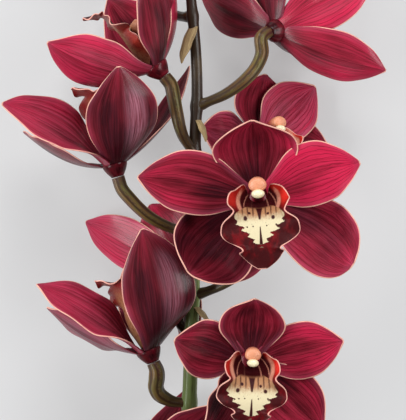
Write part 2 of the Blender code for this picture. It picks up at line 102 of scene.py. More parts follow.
# Points along a piece, and cells across or round it.
HUB_GRID = (9, 24)
LIP_GRID = (61, 26)
COLUMN_GRID = (21, 28)
STALK_GRID = (61, 36)
BUD_GRID = (33, 36)
STEM_GRID = (301, 32)
BRACT_GRID = (15, 10)
# Points of the coarser curves that stem and stalks are drawn through.
STEM_POINTS = 22
STALK_POINTS = 9

Rows = tuple[tuple[float, ...], ...]
Point = tuple[float, float, float]
Colour = tuple[float, float, float, float]
Socket = bpy.types.NodeSocket
Material = bpy.types.Material

log = logging.getLogger("orchid")


class LipPose(Enum):
    """How far a lip is bent down: its midline forward along the bloom's axis, then up."""

    OPEN = ((2.8, -2.6), (11, -4), (21, -7), (26, -19), (22, -35))
    CLOSED = ((2.8, -2.6), (13, -4), (26, -3), (37, -4), (43, -12))


class Form(Enum):
    """The outline of a tepal: half-width along its length, as a share of the widest half."""

    PETAL = PETAL_FORM
    SEPAL = SEPAL_FORM
    SPOON = SPOON_FORM


def even(count: int) -> np.ndarray:
    """Spread shares of a length evenly from 0 to 1."""
    return np.linspace(0.0, 1.0, count)


def unit(vector: np.ndarray | Point) -> np.ndarray:
    """Scale a vector to length one.

    Args:
        vector: The vector.

    Returns:
        The vector at length one.
    """
    vector = np.asarray(vector, dtype=float)
    return vector / np.linalg.norm(vector)


def hermite(knots: np.ndarray, values: np.ndarray, at: np.ndarray) -> np.ndarray:
    """Read a smooth curve through values at knots.

    Args:
        knots: Rising positions of the values.
        values: One row of numbers for each knot.
        at: Positions to read.

    Returns:
        One row of numbers for each position.
    """
    slopes = np.gradient(values, knots, axis=0)
    left = np.clip(np.searchsorted(knots, at, side="right") - 1, 0, len(knots) - 2)
    gap = knots[left + 1] - knots[left]
    t = (at - knots[left]) / gap
    if values.ndim > 1:
        t, gap = t[:, None], gap[:, None]
    return (
        (2 * t**3 - 3 * t**2 + 1) * values[left]
        + (t**3 - 2 * t**2 + t) * gap * slopes[left]
        + (3 * t**2 - 2 * t**3) * values[left + 1]
        + (t**3 - t**2) * gap * slopes[left + 1]
    )


def spline(stations: Rows | np.ndarray, share: np.ndarray) -> np.ndarray:
    """Run a smooth curve through stations.

    Args:
        stations: Points, with any further numbers after the first three.
        share: Shares of the curve's length, 0 to 1.

    Returns:
        One row for each share.
    """
    points = np.asarray(stations, dtype=float)
    steps = np.linalg.norm(np.diff(points[:, :3], axis=0), axis=1)
    knots = np.concatenate(([0.0], np.cumsum(steps)))
    return hermite(knots, points, np.clip(share, 0.0, 1.0) * knots[-1])


def table(rows: Rows, share: np.ndarray) -> np.ndarray:
    """Read a value off a smooth curve through (share, value) rows.

    Args:
        rows: The rows.
        share: Shares to read at.

    Returns:
        One value for each share.
    """
    values = np.asarray(rows, dtype=float)
    return hermite(values[:, 0], values[:, 1], np.asarray(share, dtype=float))


def pressed(points: np.ndarray, rest: float) -> np.ndarray:
    """Lay what would be below the surface on it.

    Args:
        points: Points in millimetres.
        rest: The lowest height allowed.

    Returns:
        The points, none lower than the resting height.
    """
    out = np.array(points, dtype=float)
    low = out[..., 2] - rest
    out[..., 2] = rest + 0.5 * (low + np.sqrt(low**2 + PRESS**2))
    return out


def carried_axes(points: np.ndarray, start: np.ndarray | Point) -> tuple[np.ndarray, np.ndarray, np.ndarray]:
    """Carry two cross axes along a path without twist.

    Args:
        points: The path's points.
        start: A direction near the first cross axis.

    Returns:
        The tangents, the first cross axes and the second cross axes.
    """
    tangents = np.gradient(points, axis=0)
    tangents /= np.linalg.norm(tangents, axis=1)[:, None]
    axis = np.asarray(start, dtype=float)
    first, second = [], []
    for tangent in tangents:
        axis = unit(axis - tangent * axis.dot(tangent))
        first.append(axis)
        second.append(np.cross(tangent, axis))
    return tangents, np.array(first), np.array(second)


class Value:
    """A number flowing through a finish's nodes, with the usual operators."""

    def __init__(self, recipe: "Recipe", socket: Socket) -> None:
        """Hold a node's output socket.

        Args:
            recipe: The finish that the socket belongs to.
            socket: The output socket.
        """
        self.recipe = recipe
        self.socket = socket

    def combine(self, operation: str, *others: "Value | float") -> "Value":
        """Add a Math node.

        Args:
            operation: The Math node's operation.
            others: The values after this one.

        Returns:
            The node's result.
        """
        values = {index: value for index, value in enumerate((self, *others))}
        made = self.recipe.node("ShaderNodeMath", {"operation": operation}, values)
        return Value(self.recipe, made.outputs[0])

    def under(self, operation: str, other: float) -> "Value":
        """Add a Math node with a plain number first.

        Args:
            operation: The Math node's operation.
            other: The first number.

        Returns:
            The node's result.
        """
        made = self.recipe.node("ShaderNodeMath", {"operation": operation}, {0: other, 1: self})
        return Value(self.recipe, made.outputs[0])

    def __add__(self, other: "Value | float") -> "Value":
        """Add."""
        return self.combine("ADD", other)

    def __radd__(self, other: float) -> "Value":
        """Add to a number."""
        return self.combine("ADD", other)

    def __sub__(self, other: "Value | float") -> "Value":
        """Take away."""
        return self.combine("SUBTRACT", other)

    def __rsub__(self, other: float) -> "Value":
        """Take away from a number."""
        return self.under("SUBTRACT", other)

    def __mul__(self, other: "Value | float") -> "Value":
        """Multiply."""
        return self.combine("MULTIPLY", other)

    def __abs__(self) -> "Value":
        """Drop the sign."""
        return self.combine("ABSOLUTE")

    def most(self, other: "Value | float") -> "Value":
        """Keep the larger of two values."""
        return self.combine("MAXIMUM", other)

    def wave(self) -> "Value":
        """Take the sine."""
        return self.combine("SINE")

    def zigzag(self, height: float) -> "Value":
        """Fold the value between zero and a height."""
        return self.combine("PINGPONG", height)

    def rising(self, low: float, high: float) -> "Value":
        """Ease from 0 to 1 between two values.

        Args:
            low: Where the result is 0.
            high: Where the result is 1.

        Returns:
            The eased value.
        """
        settings = {"interpolation_type": "SMOOTHSTEP"}
        inputs = {"Value": self, "From Min": low, "From Max": high}
        made = self.recipe.node("ShaderNodeMapRange", settings, inputs)
        return Value(self.recipe, made.outputs["Result"])

    def falling(self, low: float, high: float) -> "Value":
        """Ease from 1 to 0 between two values."""
        return 1.0 - self.rising(low, high)


class Recipe:
    """The nodes of one finish, ending in its Principled shader."""

    def __init__(self, name: str) -> None:
        """Start a material.

        Args:
            name: The material's name.
        """
        self.material = bpy.data.materials.new(name)
        self.material.use_nodes = True
        self.tree = self.material.node_tree
        self.shader = self.tree.nodes["Principled BSDF"]

    def node(self, kind: str, settings: dict | None = None, inputs: dict | None = None) -> bpy.types.Node:
        """Add a node.

        Args:
            kind: The node's type.
            settings: Its settings, made before its sockets are set; "stops" fills a ramp.
            inputs: Values or links for its sockets, by name or number.

        Returns:
            The node.
        """
        made = self.tree.nodes.new(kind)
        for key, value in (settings or {}).items():
            if key == "stops":
                self.fill_ramp(made.color_ramp, value)
            else:
                setattr(made, key, value)
        for key, value in (inputs or {}).items():
            self.feed(made.inputs[key], value)
        return made

    def feed(self, socket: Socket, value: object) -> None:
        """Set or link a socket.

        Args:
            socket: The input socket.
            value: A number, a colour, a Value or an output socket.
        """
        if isinstance(value, Value):
            self.tree.links.new(value.socket, socket)
        elif isinstance(value, Socket):
            self.tree.links.new(value, socket)
        else:
            socket.default_value = value

    @staticmethod
    def fill_ramp(ramp: bpy.types.ColorRamp, stops: tuple[tuple[float, Colour], ...]) -> None:
        """Give a ramp its stops.

        Args:
            ramp: The ramp.
            stops: Positions and colours, in rising order.
        """
        while len(ramp.elements) < len(stops):
            ramp.elements.new(1.0)
        for element, (position, colour) in zip(ramp.elements, stops):
            element.position = position
            element.color = colour

    def read(self, *names: str) -> list[Value]:
        """Read numbers stored on the mesh."""
        made = [self.node("ShaderNodeAttribute", {"attribute_name": name}) for name in names]
        return [Value(self, node.outputs["Fac"]) for node in made]

    def place(self) -> tuple[Value, Value, Value]:
        """Read the object coordinates."""
        made = self.node("ShaderNodeTexCoord")
        split = self.node("ShaderNodeSeparateXYZ", None, {0: made.outputs["Object"]})
        return tuple(Value(self, split.outputs[axis]) for axis in "XYZ")

    def vector(self, where: tuple[Value, ...]) -> Socket:
        """Join two or three numbers into a vector."""
        return self.node("ShaderNodeCombineXYZ", None, dict(enumerate(where))).outputs[0]

    def noise(
        self, where: tuple[Value, ...], scale: float, detail: float = 2.0, roughness: float = 0.5
    ) -> Value:
        """Add a Noise texture.

        Args:
            where: The coordinates.
            scale: The texture's scale.
            detail: How many finer layers it has.
            roughness: How strong the finer layers are.

        Returns:
            A value round 0.5.
        """
        inputs = {"Vector": self.vector(where), "Scale": scale, "Detail": detail, "Roughness": roughness}
        return Value(self, self.node("ShaderNodeTexNoise", None, inputs).outputs[0])

    def spots(self, where: tuple[Value, ...], scale: float) -> Value:
        """Add a Voronoi texture and return the distance to its nearest point."""
        made = self.node("ShaderNodeTexVoronoi", None, {"Vector": self.vector(where), "Scale": scale})
        return Value(self, made.outputs["Distance"])

    def mix(self, share: Value | float, first: Colour | Socket, second: Colour | Socket) -> Socket:
        """Mix two colours.

        Args:
            share: How much of the second colour is used.
            first: The first colour.
            second: The second colour.

        Returns:
            The mixed colour.
        """
        settings = {"data_type": "RGBA", "clamp_factor": True}
        return self.node("ShaderNodeMix", settings, {0: share, 6: first, 7: second}).outputs[2]

    def bump(self, height: Value, depth: float) -> None:
        """Raise the surface by a height.

        Args:
            height: A value round 0 to 1.
            depth: The relief for a height of 1, in millimetres.
        """
        made = self.node("ShaderNodeBump", None, {"Height": height, "Distance": depth * MM, "Strength": 1.0})
        self.feed(self.shader.inputs["Normal"], made.outputs[0])

    def finish(self, colour: object, roughness: object, **constants: object) -> Material:
        """Feed the shader.

        Args:
            colour: The base colour.
            roughness: The roughness.
            constants: Other sockets, with underscores for spaces.

        Returns:
            The material.
        """
        self.feed(self.shader.inputs["Base Color"], colour)
        self.feed(self.shader.inputs["Roughness"], roughness)
        for key, value in constants.items():
            self.feed(self.shader.inputs[key.replace("_", " ").title().replace("Ior", "IOR")], value)
        return self.material


@dataclass(frozen=True)
class TepalSkin:
    """The flesh of the tepals: crimson of several depths, with lengthwise veins, a pale rim, painted shade
    in the hollow middle and a painted pink sheen.
    """

    dark: Colour = (0.030, 0.0016, 0.0036, 1.0)
    deep: Colour = (0.105, 0.0046, 0.0100, 1.0)
    full: Colour = (0.245, 0.0110, 0.0270, 1.0)
    bright: Colour = (0.560, 0.0150, 0.0620, 1.0)
    # Colour of the painted pink sheen.
    veil: Colour = (0.520, 0.1150, 0.1950, 1.0)
    rim: Colour = (0.860, 0.4500, 0.3500, 1.0)
    rim_width: float = 0.30

    def flesh(self, recipe: Recipe, hollow: float) -> tuple[Socket, Value]:
        """Lay the flesh, its veins and its rim, with painted shade in the hollow middle and a painted pink
        sheen.

        Args:
            recipe: The finish being built.
            hollow: How much painted shade darkens the middle and the foot.

        Returns:
            The colour and the height of the veins.
        """
        across, along, margin, tone = recipe.read("across", "along", "margin", "tone")
        streaks = recipe.noise((across * 8.0, along * 0.8, tone * 40.0), 1.6, 3.0, 0.6)
        fine = recipe.noise((across * 24.0, along * 1.3, tone * 60.0), 1.4, 2.0, 0.6)
        cloud = recipe.noise((across * 1.3, along * 1.8, tone * 30.0), 1.4, 2.0, 0.5)
        # Painted shade: darker towards the foot and down the middle of the lower half, where the cupped
        # tepal is hollow.
        heart = along.falling(0.05, 0.62) * 0.5
        heart = heart + abs(across).falling(0.0, 0.75) * along.falling(0.5, 1.0) * 0.5
        vivid = tone.rising(-0.2, 0.6)
        light = tone + (cloud - 0.5) * 0.95 - heart * hollow
        light = light + ((streaks - 0.5) * 0.80 + (fine - 0.5) * 0.50) * vivid
        stops = ((0.0, self.dark), (0.22, self.deep), (0.5, self.full), (1.0, self.bright))
        body = recipe.node("ShaderNodeValToRGB", {"stops": stops}, {0: light}).outputs[0]
        # Painted pink sheen: streaky over the tepal by its share of it, and in a band along the margin.
        pink = recipe.read("veil")[0] * (streaks.rising(0.35, 0.70) * 0.75 + 0.25)
        pink = pink + margin.falling(0.0, 4.5) * 0.22 * vivid
        body = recipe.mix(pink, body, self.veil)
        wander = recipe.noise((across * 9.0, along * 7.0, tone * 20.0), 1.0, 1.0)
        lines = (across * 46.0 + wander * 5.0).wave().rising(0.72, 1.0) * abs(across).falling(0.80, 0.95)
        body = recipe.mix(lines * vivid * 0.48, body, self.deep)
        edge = (margin - wander * 0.25).falling(self.rim_width - 0.22, self.rim_width + 0.08)
        body = recipe.mix(edge * along.rising(0.10, 0.28), body, self.rim)
        return body, streaks * 0.5 + fine * 0.35 - lines * 0.25


@dataclass(frozen=True)
class TepalFace(TepalSkin):
    """The inner face of the tepals."""

    def make(self) -> Material:
        """Build the material."""
        recipe = Recipe("tepal_face")
        body, height = self.flesh(recipe, 0.55)
        midrib = abs(recipe.read("across")[0]).falling(0.0, 0.035)
        recipe.bump(height - midrib * 0.5, 0.50)
        gloss = {"specular_ior_level": 0.03, "coat_weight": 0.03, "coat_roughness": 0.20}
        return recipe.finish(body, 0.34 + height * 0.16, **gloss)


@dataclass(frozen=True)
class TepalBack(TepalSkin):
    """The outer face of the tepals, glossier, with a raised keel and a painted highlight band."""

    rim_width: float = 0.22
    # Colour of the painted highlight.
    wax: Colour = (0.600, 0.2400, 0.3200, 1.0)

    def make(self) -> Material:
        """Build the material."""
        recipe = Recipe("tepal_back")
        body, height = self.flesh(recipe, 0.45)
        across, along, tone, wax = recipe.read("across", "along", "tone", "wax")
        fibre = recipe.noise((across * 22.0, along * 2.2, tone * 50.0), 1.5, 3.0, 0.7)
        # Painted highlight: a pale streaky band beside the keel, along the middle of the length.
        highlight_band = across.rising(-0.08, 0.34) * across.falling(0.40, 0.78)
        highlight_band = highlight_band * along.rising(0.05, 0.40) * along.falling(0.62, 0.86)
        body = recipe.mix(wax * highlight_band * fibre.rising(0.25, 0.72), body, self.wax)
        keel = abs(across).falling(0.0, 0.07)
        recipe.bump(height * 0.8 + keel * 0.6, 0.45)
        gloss = {"specular_ior_level": 0.05, "coat_weight": 0.38, "coat_roughness": 0.22}
        return recipe.finish(body, 0.30 + height * 0.15, **gloss)


@dataclass(frozen=True)
class PaleRim:
    """The thin pale edge of tepals and lips."""

    name: str
    colour: Colour = (0.860, 0.4500, 0.3500, 1.0)
    flush: Colour = (0.640, 0.1700, 0.1700, 1.0)
    foot: Colour = (0.130, 0.0050, 0.0110, 1.0)

    def make(self) -> Material:
        """Build the material."""
        recipe = Recipe(self.name)
        along, tone = recipe.read("along", "tone")
        patch = recipe.noise((along * 12.0, tone * 9.0), 1.0, 2.0)
        body = recipe.mix(patch.rising(0.45, 0.75) * 0.6, self.colour, self.flush)
        body = recipe.mix(along.falling(0.08, 0.24), body, self.foot)
        return recipe.finish(body, 0.42, specular_ior_level=0.3)


@dataclass(frozen=True)
class LipFace:
    """The inner face of the lip: velvet red with a cream wedge, maroon marks and a pale frill.

    Widths and distances from the lip's foot are in millimetres. A dot has its place to the side,
    its distance and its radius.
    """

    velvet: Colour = (0.048, 0.0006, 0.0020, 1.0)
    glow: Colour = (0.170, 0.0015, 0.0050, 1.0)
    scarlet: Colour = (0.620, 0.0200, 0.0110, 1.0)
    throat: Colour = (0.035, 0.0010, 0.0020, 1.0)
    cream: Colour = (0.700, 0.6100, 0.3900, 1.0)
    tan: Colour = (0.420, 0.2000, 0.0950, 1.0)
    blush: Colour = (0.780, 0.3300, 0.2200, 1.0)
    frill: Colour = (0.860, 0.4200, 0.3400, 1.0)
    throat_end: float = 17.0
    wedge_top: float = 24.5
    wedge_tip: float = 38.0
    wedge_half: float = 13.4
    dots: Rows = (
        (-7.0, 23.8, 1.15), (-5.0, 21.0, 0.90), (4.2, 21.6, 0.80), (6.6, 23.9, 1.05),
        (-6.2, 27.6, 0.45), (-3.4, 27.4, 0.40), (3.2, 27.4, 0.40), (7.8, 27.2, 0.50),
    )

    def make(self) -> Material:
        """Build the material."""
        recipe = Recipe("lip_face")
        side, reach, margin, tone = recipe.read("lateral", "reach", "margin", "tone")
        out = abs(side)
        cloud = recipe.noise((side * 0.16, reach * 0.10, tone * 30.0), 1.0, 3.0, 0.6)
        grain = recipe.noise((side * 1.1, reach * 0.8, tone * 20.0), 1.0, 3.0, 0.7)
        body = recipe.mix(cloud.rising(0.48, 0.72), self.velvet, self.glow)
        wing = out.rising(9.5, 13.5) * reach.falling(17.0, 23.0)
        # Scarlet side lobes, weaker on the lobe to the negative side: painted shade on that lobe.
        body = recipe.mix(wing * (0.55 + side.rising(-16.0, 16.0) * 0.45), body, self.scarlet)
        inside = reach.falling(self.throat_end - 2.0, self.throat_end + 1.5) * out.falling(9.0, 13.0)
        body = recipe.mix(inside, body, self.throat)
        stripe = (side * 1.55 + grain * 1.4).wave().rising(0.80, 0.98) * out.rising(3.0, 5.0)
        body = recipe.mix(inside * stripe * 0.45, body, self.blush)
        arm_line = abs(out - 11.5 + (reach - 12.0) * 0.28)
        arm = arm_line.falling(0.5, 1.7) * reach.rising(7.0, 10.0) * reach.falling(21.0, 24.0)
        body = recipe.mix(arm * (0.45 + grain * 0.5), body, self.blush)
        body = self.wedge(recipe, body, out, reach, grain, cloud)
        body = self.marks(recipe, body, side, reach)
        fringe = (margin - grain * 0.30).falling(0.15, 0.45)
        body = recipe.mix(fringe, body, self.frill)
        recipe.bump(grain * 0.7 + cloud * 0.4, 0.35)
        return recipe.finish(
            body,
            0.44 + grain * 0.12,
            specular_ior_level=0.20,
            sheen_weight=0.08,
            sheen_roughness=0.35,
            sheen_tint=(0.9, 0.15, 0.20, 1.0),
        )

    def wedge(
        self, recipe: Recipe, body: Socket, out: Value, reach: Value, grain: Value, cloud: Value
    ) -> Socket:
        """Lay the cream wedge with its jagged edge and its dark centre line.

        Args:
            recipe: The finish being built.
            body: The colour so far.
            out: Distance from the midline.
            reach: Distance along the lip.
            grain: A fine noise.
            cloud: A broad noise.

        Returns:
            The colour with the wedge.
        """
        teeth = (reach + grain * 1.8).zigzag(1.5) * 1.9 + (cloud - 0.5) * 3.0
        below = (reach - self.wedge_top).most(0.0) * 0.88
        above = (self.wedge_top - reach).most(0.0) * 0.85
        jagged = teeth * reach.rising(self.wedge_top - 1.0, self.wedge_top + 1.0)
        inside = (self.wedge_half - below - above - jagged - out).rising(-0.15, 0.35)
        inside = inside * reach.rising(self.throat_end - 2.0, self.throat_end + 1.0)
        inside = inside * reach.falling(self.wedge_tip - 0.6, self.wedge_tip)
        pale = (reach + grain * 5.0).rising(self.wedge_top - 1.0, self.wedge_top + 4.0)
        ground = recipe.mix(pale, self.tan, self.cream)
        body = recipe.mix(inside, body, ground)
        upper = out - 1.5 + (reach - self.throat_end) * 0.16
        lower = out - 0.10 - (reach - self.wedge_top - 3.0).most(0.0) * 0.07
        line = upper.falling(-0.2, 0.4) * reach.falling(self.wedge_top - 0.6, self.wedge_top + 0.2)
        lower_line = lower.falling(-0.1, 0.35) * reach.rising(self.wedge_top + 2.8, self.wedge_top + 3.6)
        rays = (out * 2.3 + grain * 1.6).wave().rising(0.35, 0.9)
        rays = rays * reach.falling(self.wedge_top - 4.0, self.wedge_top)
        line = line.most(lower_line).most(rays * 0.75)
        return recipe.mix(line * inside, body, self.throat)

    def marks(self, recipe: Recipe, body: Socket, side: Value, reach: Value) -> Socket:
        """Lay the maroon dots.

        Args:
            recipe: The finish being built.
            body: The colour so far.
            side: Distance to the side of the midline.
            reach: Distance along the lip.

        Returns:
            The colour with the dots.
        """
        for x, y, radius in self.dots:
            dx, dy = side - x, reach - y
            distance = (dx * dx + dy * dy).combine("SQRT")
            body = recipe.mix(distance.falling(radius * 0.55, radius * 1.15), body, self.throat)
        speckle = recipe.spots((side, reach), 0.75)
        field = reach.rising(20.0, 22.0) * reach.falling(29.0, 32.0) * abs(side).falling(9.0, 11.0)
        return recipe.mix(speckle.falling(0.10, 0.20) * field * 0.55, body, self.velvet)


@dataclass(frozen=True)
class LipBack:
    """The outer face of the lip: cream flushed with red, and speckled."""

    cream: Colour = (0.480, 0.2400, 0.1100, 1.0)
    red: Colour = (0.210, 0.0040, 0.0100, 1.0)
    orange: Colour = (0.360, 0.0260, 0.0120, 1.0)

    def make(self) -> Material:
        """Build the material."""
        recipe = Recipe("lip_back")
        side, reach, tone = recipe.read("lateral", "reach", "tone")
        grain = recipe.noise((side * 0.9, reach * 0.5, tone * 20.0), 1.0, 3.0, 0.65)
        veins = recipe.noise((side * 1.2, reach * 0.08, tone * 10.0), 1.0, 2.0)
        body = recipe.mix(reach.rising(10.0, 34.0) * 0.8, self.orange, self.red)
        body = recipe.mix(abs(side).falling(2.0, 9.0) * reach.falling(24.0, 36.0), body, self.cream)
        body = recipe.mix(grain.rising(0.52, 0.62) * 0.6, body, self.red)
        body = recipe.mix(veins.rising(0.55, 0.7) * 0.4, body, self.red)
        recipe.bump(grain, 0.3)
        return recipe.finish(body, 0.42, sheen_weight=0.12, sheen_tint=(1.0, 0.6, 0.5, 1.0))


@dataclass(frozen=True)
class ColumnSkin:
    """The column: peach at its hood, redder and streaked at its foot."""

    peach: Colour = (0.760, 0.3100, 0.1700, 1.0)
    flush: Colour = (0.480, 0.0500, 0.0550, 1.0)
    dark: Colour = (0.120, 0.0060, 0.0100, 1.0)

    def make(self) -> Material:
        """Build the material."""
        recipe = Recipe("column_skin")
        across, along = recipe.read("across", "along")
        streaks = recipe.noise((across * 9.0, along * 1.5), 1.5, 3.0, 0.6)
        body = recipe.mix(along.rising(0.55, 0.95), self.flush, self.peach)
        body = recipe.mix(streaks.rising(0.50, 0.70) * along.falling(0.55, 1.0) * 0.7, body, self.dark)
        recipe.bump(streaks, 0.3)
        return recipe.finish(body, 0.36, specular_ior_level=0.5)


@dataclass(frozen=True)
class AntherCap:
    """The waxy cream cap under the column's hood."""

    cream: Colour = (0.860, 0.7900, 0.5200, 1.0)
    shade: Colour = (0.720, 0.5200, 0.2900, 1.0)

    def make(self) -> Material:
        """Build the material."""
        recipe = Recipe("anther_cap")
        patch = recipe.noise(recipe.place(), 420.0, 3.0)
        body = recipe.mix(patch.rising(0.45, 0.75) * 0.7, self.cream, self.shade)
        recipe.bump(patch, 0.15)
        return recipe.finish(body, 0.28, coat_weight=0.2, coat_roughness=0.2)


# The gloss that the stem and the stalks share.
STEM_GLOSS = {"specular_ior_level": 0.25, "coat_weight": 0.25, "coat_roughness": 0.18}


@dataclass(frozen=True)
class StemSkin:
    """The stem: green on the lower spike, dark olive brown higher up, with lengthwise streaks, painted shade
    down one side of the green part and a painted highlight streak down the brown part.
    """

    green: Colour = (0.235, 0.3100, 0.0850, 1.0)
    # Colour of the painted shade on the green part and of the painted highlight on the brown part.
    shade_and_glint_green: Colour = (0.060, 0.0850, 0.0250, 1.0)
    brown: Colour = (0.026, 0.0140, 0.0060, 1.0)
    purple: Colour = (0.050, 0.0140, 0.0160, 1.0)
    node: Colour = (0.130, 0.0850, 0.0380, 1.0)

    def make(self) -> Material:
        """Build the material."""
        recipe = Recipe("stem_skin")
        x, y, z = recipe.place()
        across, along = recipe.read("across", "along")
        streaks = recipe.noise((across * 12.0, along * 30.0), 1.0, 3.0, 0.6)
        patch = recipe.noise((x, y, z), 45.0, 3.0, 0.55)
        high = (y + (patch - 0.5) * 0.06).rising(-0.005, 0.055)
        body = recipe.mix(high, self.green, self.brown)
        # Painted shade: one side of the green lower stem darker.
        side = across.rising(0.30, 0.46) * across.falling(0.80, 0.95)
        body = recipe.mix(side * (1.0 - high) * 0.75, body, self.shade_and_glint_green)
        # Painted highlight: a greener streak down one side of the brown upper stem.
        lit_streak = across.rising(0.10, 0.20) * across.falling(0.26, 0.36)
        body = recipe.mix(lit_streak * high * 0.8, body, self.shade_and_glint_green)
        body = recipe.mix(streaks.rising(0.50, 0.72) * 0.45, body, self.purple)
        body = recipe.mix(patch.rising(0.60, 0.78) * 0.45, body, self.node)
        recipe.bump(streaks * 0.8 + patch * 0.3, 0.35)
        return recipe.finish(body, 0.36 + streaks * 0.15, **STEM_GLOSS)


@dataclass(frozen=True)
class StalkSkin:
    """The stalks: olive brown and ribbed, with painted shade in the grooves between the ribs and purple
    streaks.
    """

    olive: Colour = (0.165, 0.0900, 0.0260, 1.0)
    brown: Colour = (0.028, 0.0120, 0.0050, 1.0)
    purple: Colour = (0.062, 0.0120, 0.0150, 1.0)
    green: Colour = (0.125, 0.1050, 0.0280, 1.0)

    def make(self) -> Material:
        """Build the material."""
        recipe = Recipe("stalk_skin")
        across, along, tone = recipe.read("across", "along", "tone")
        streaks = recipe.noise((across * 14.0, along * 3.0, tone * 30.0), 1.0, 3.0, 0.6)
        patch = recipe.noise((across * 3.0, along * 5.0, tone * 11.0), 1.0, 2.0)
        ribs = (across * (math.tau * STALK_RIBS)).wave()
        body = recipe.mix(patch.rising(0.35, 0.65), self.olive, self.green)
        # Painted shade: brown in the grooves between the ribs.
        body = recipe.mix(ribs.falling(-0.9, 0.2) * 0.85, body, self.brown)
        body = recipe.mix(streaks.rising(0.48, 0.70) * 0.55, body, self.purple)
        body = recipe.mix(along.rising(0.86, 1.0) * 0.5, body, self.purple)
        body = recipe.mix((along + (patch - 0.5) * 0.4).falling(0.15, 0.60) * 0.75, body, self.brown)
        recipe.bump(streaks, 0.30)
        return recipe.finish(body, 0.34 + streaks * 0.12, **STEM_GLOSS)


@dataclass(frozen=True)
class BractSkin:
    """The papery bracts: straw with darker veins."""

    straw: Colour = (0.420, 0.3000, 0.1350, 1.0)
    brown: Colour = (0.150, 0.0850, 0.0380, 1.0)

    def make(self) -> Material:
        """Build the material."""
        recipe = Recipe("bract_skin")
        across, along, tone = recipe.read("across", "along", "tone")
        fibre = recipe.noise((across * 16.0, along * 2.0, tone * 9.0), 1.0, 3.0, 0.7)
        body = recipe.mix(fibre.rising(0.42, 0.66), self.straw, self.brown)
        recipe.bump(fibre, 0.25)
        return recipe.finish(body, 0.62)


@dataclass(frozen=True)
class BudSkin:
    """The closed buds: green flushed with wine red."""

    green: Colour = (0.260, 0.2400, 0.0800, 1.0)
    wine: Colour = (0.190, 0.0120, 0.0300, 1.0)

    def make(self) -> Material:
        """Build the material."""
        recipe = Recipe("bud_skin")
        across, along = recipe.read("across", "along")
        streaks = recipe.noise((across * 16.0, along * 1.6), 1.0, 3.0, 0.6)
        seam = (across * (math.tau * BUD_SCALES)).wave().rising(0.82, 0.98)
        body = recipe.mix((along + (streaks - 0.5) * 0.9).rising(0.05, 0.75), self.green, self.wine)
        body = recipe.mix(seam * 0.6, body, self.green)
        recipe.bump(streaks - seam * 0.8, 0.35)
        return recipe.finish(body, 0.36, sheen_weight=0.15, sheen_tint=(0.85, 0.66, 0.90, 1.0))


@dataclass(frozen=True)
class FloorFinish:
    """The pale grey surface under the stem."""

    grey: Colour = (0.340, 0.3430, 0.3480, 1.0)
    darker: Colour = (0.325, 0.3280, 0.3330, 1.0)
    glow: Colour = (1.0, 1.0, 1.0, 1.0)

    def make(self) -> Material:
        """Build the material."""
        recipe = Recipe("floor")
        body = recipe.mix(recipe.noise(recipe.place(), 3.0, 1.0), self.grey, self.darker)
        glow = {"emission_color": self.glow, "emission_strength": 0.36}
        return recipe.finish(body, 0.85, specular_ior_level=0.1, **glow)


@dataclass
class Finishes:
    """Every finish, made once."""

    tepal: tuple[Material, ...] = field(init=False)
    lip: tuple[Material, ...] = field(init=False)
    column: Material = field(init=False)
    cap: Material = field(init=False)
    stem: Material = field(init=False)
    stalk: Material = field(init=False)
    bract: Material = field(init=False)
    bud: Material = field(init=False)

    def __post_init__(self) -> None:
        """Make the materials."""
        self.tepal = (TepalFace().make(), TepalBack().make(), PaleRim("tepal_rim").make())
        self.lip = (LipFace().make(), LipBack().make(), PaleRim("lip_rim", (0.88, 0.46, 0.37, 1.0)).make())
        self.column = ColumnSkin().make()
        self.cap = AntherCap().make()
        self.stem = StemSkin().make()
        self.stalk = StalkSkin().make()
        self.bract = BractSkin().make()
        self.bud = BudSkin().make()


# Section of a tube: from the turn and the share of the length to the share of the radius.
Section = Callable[[np.ndarray, np.ndarray], np.ndarray]

# A distance from the margin that no finish takes for an edge.
NO_MARGIN = 9.0
# The numbers stored on a mesh for its finish.
LAYERS = ("across", "along", "margin", "lateral", "reach", "tone", "veil", "wax")


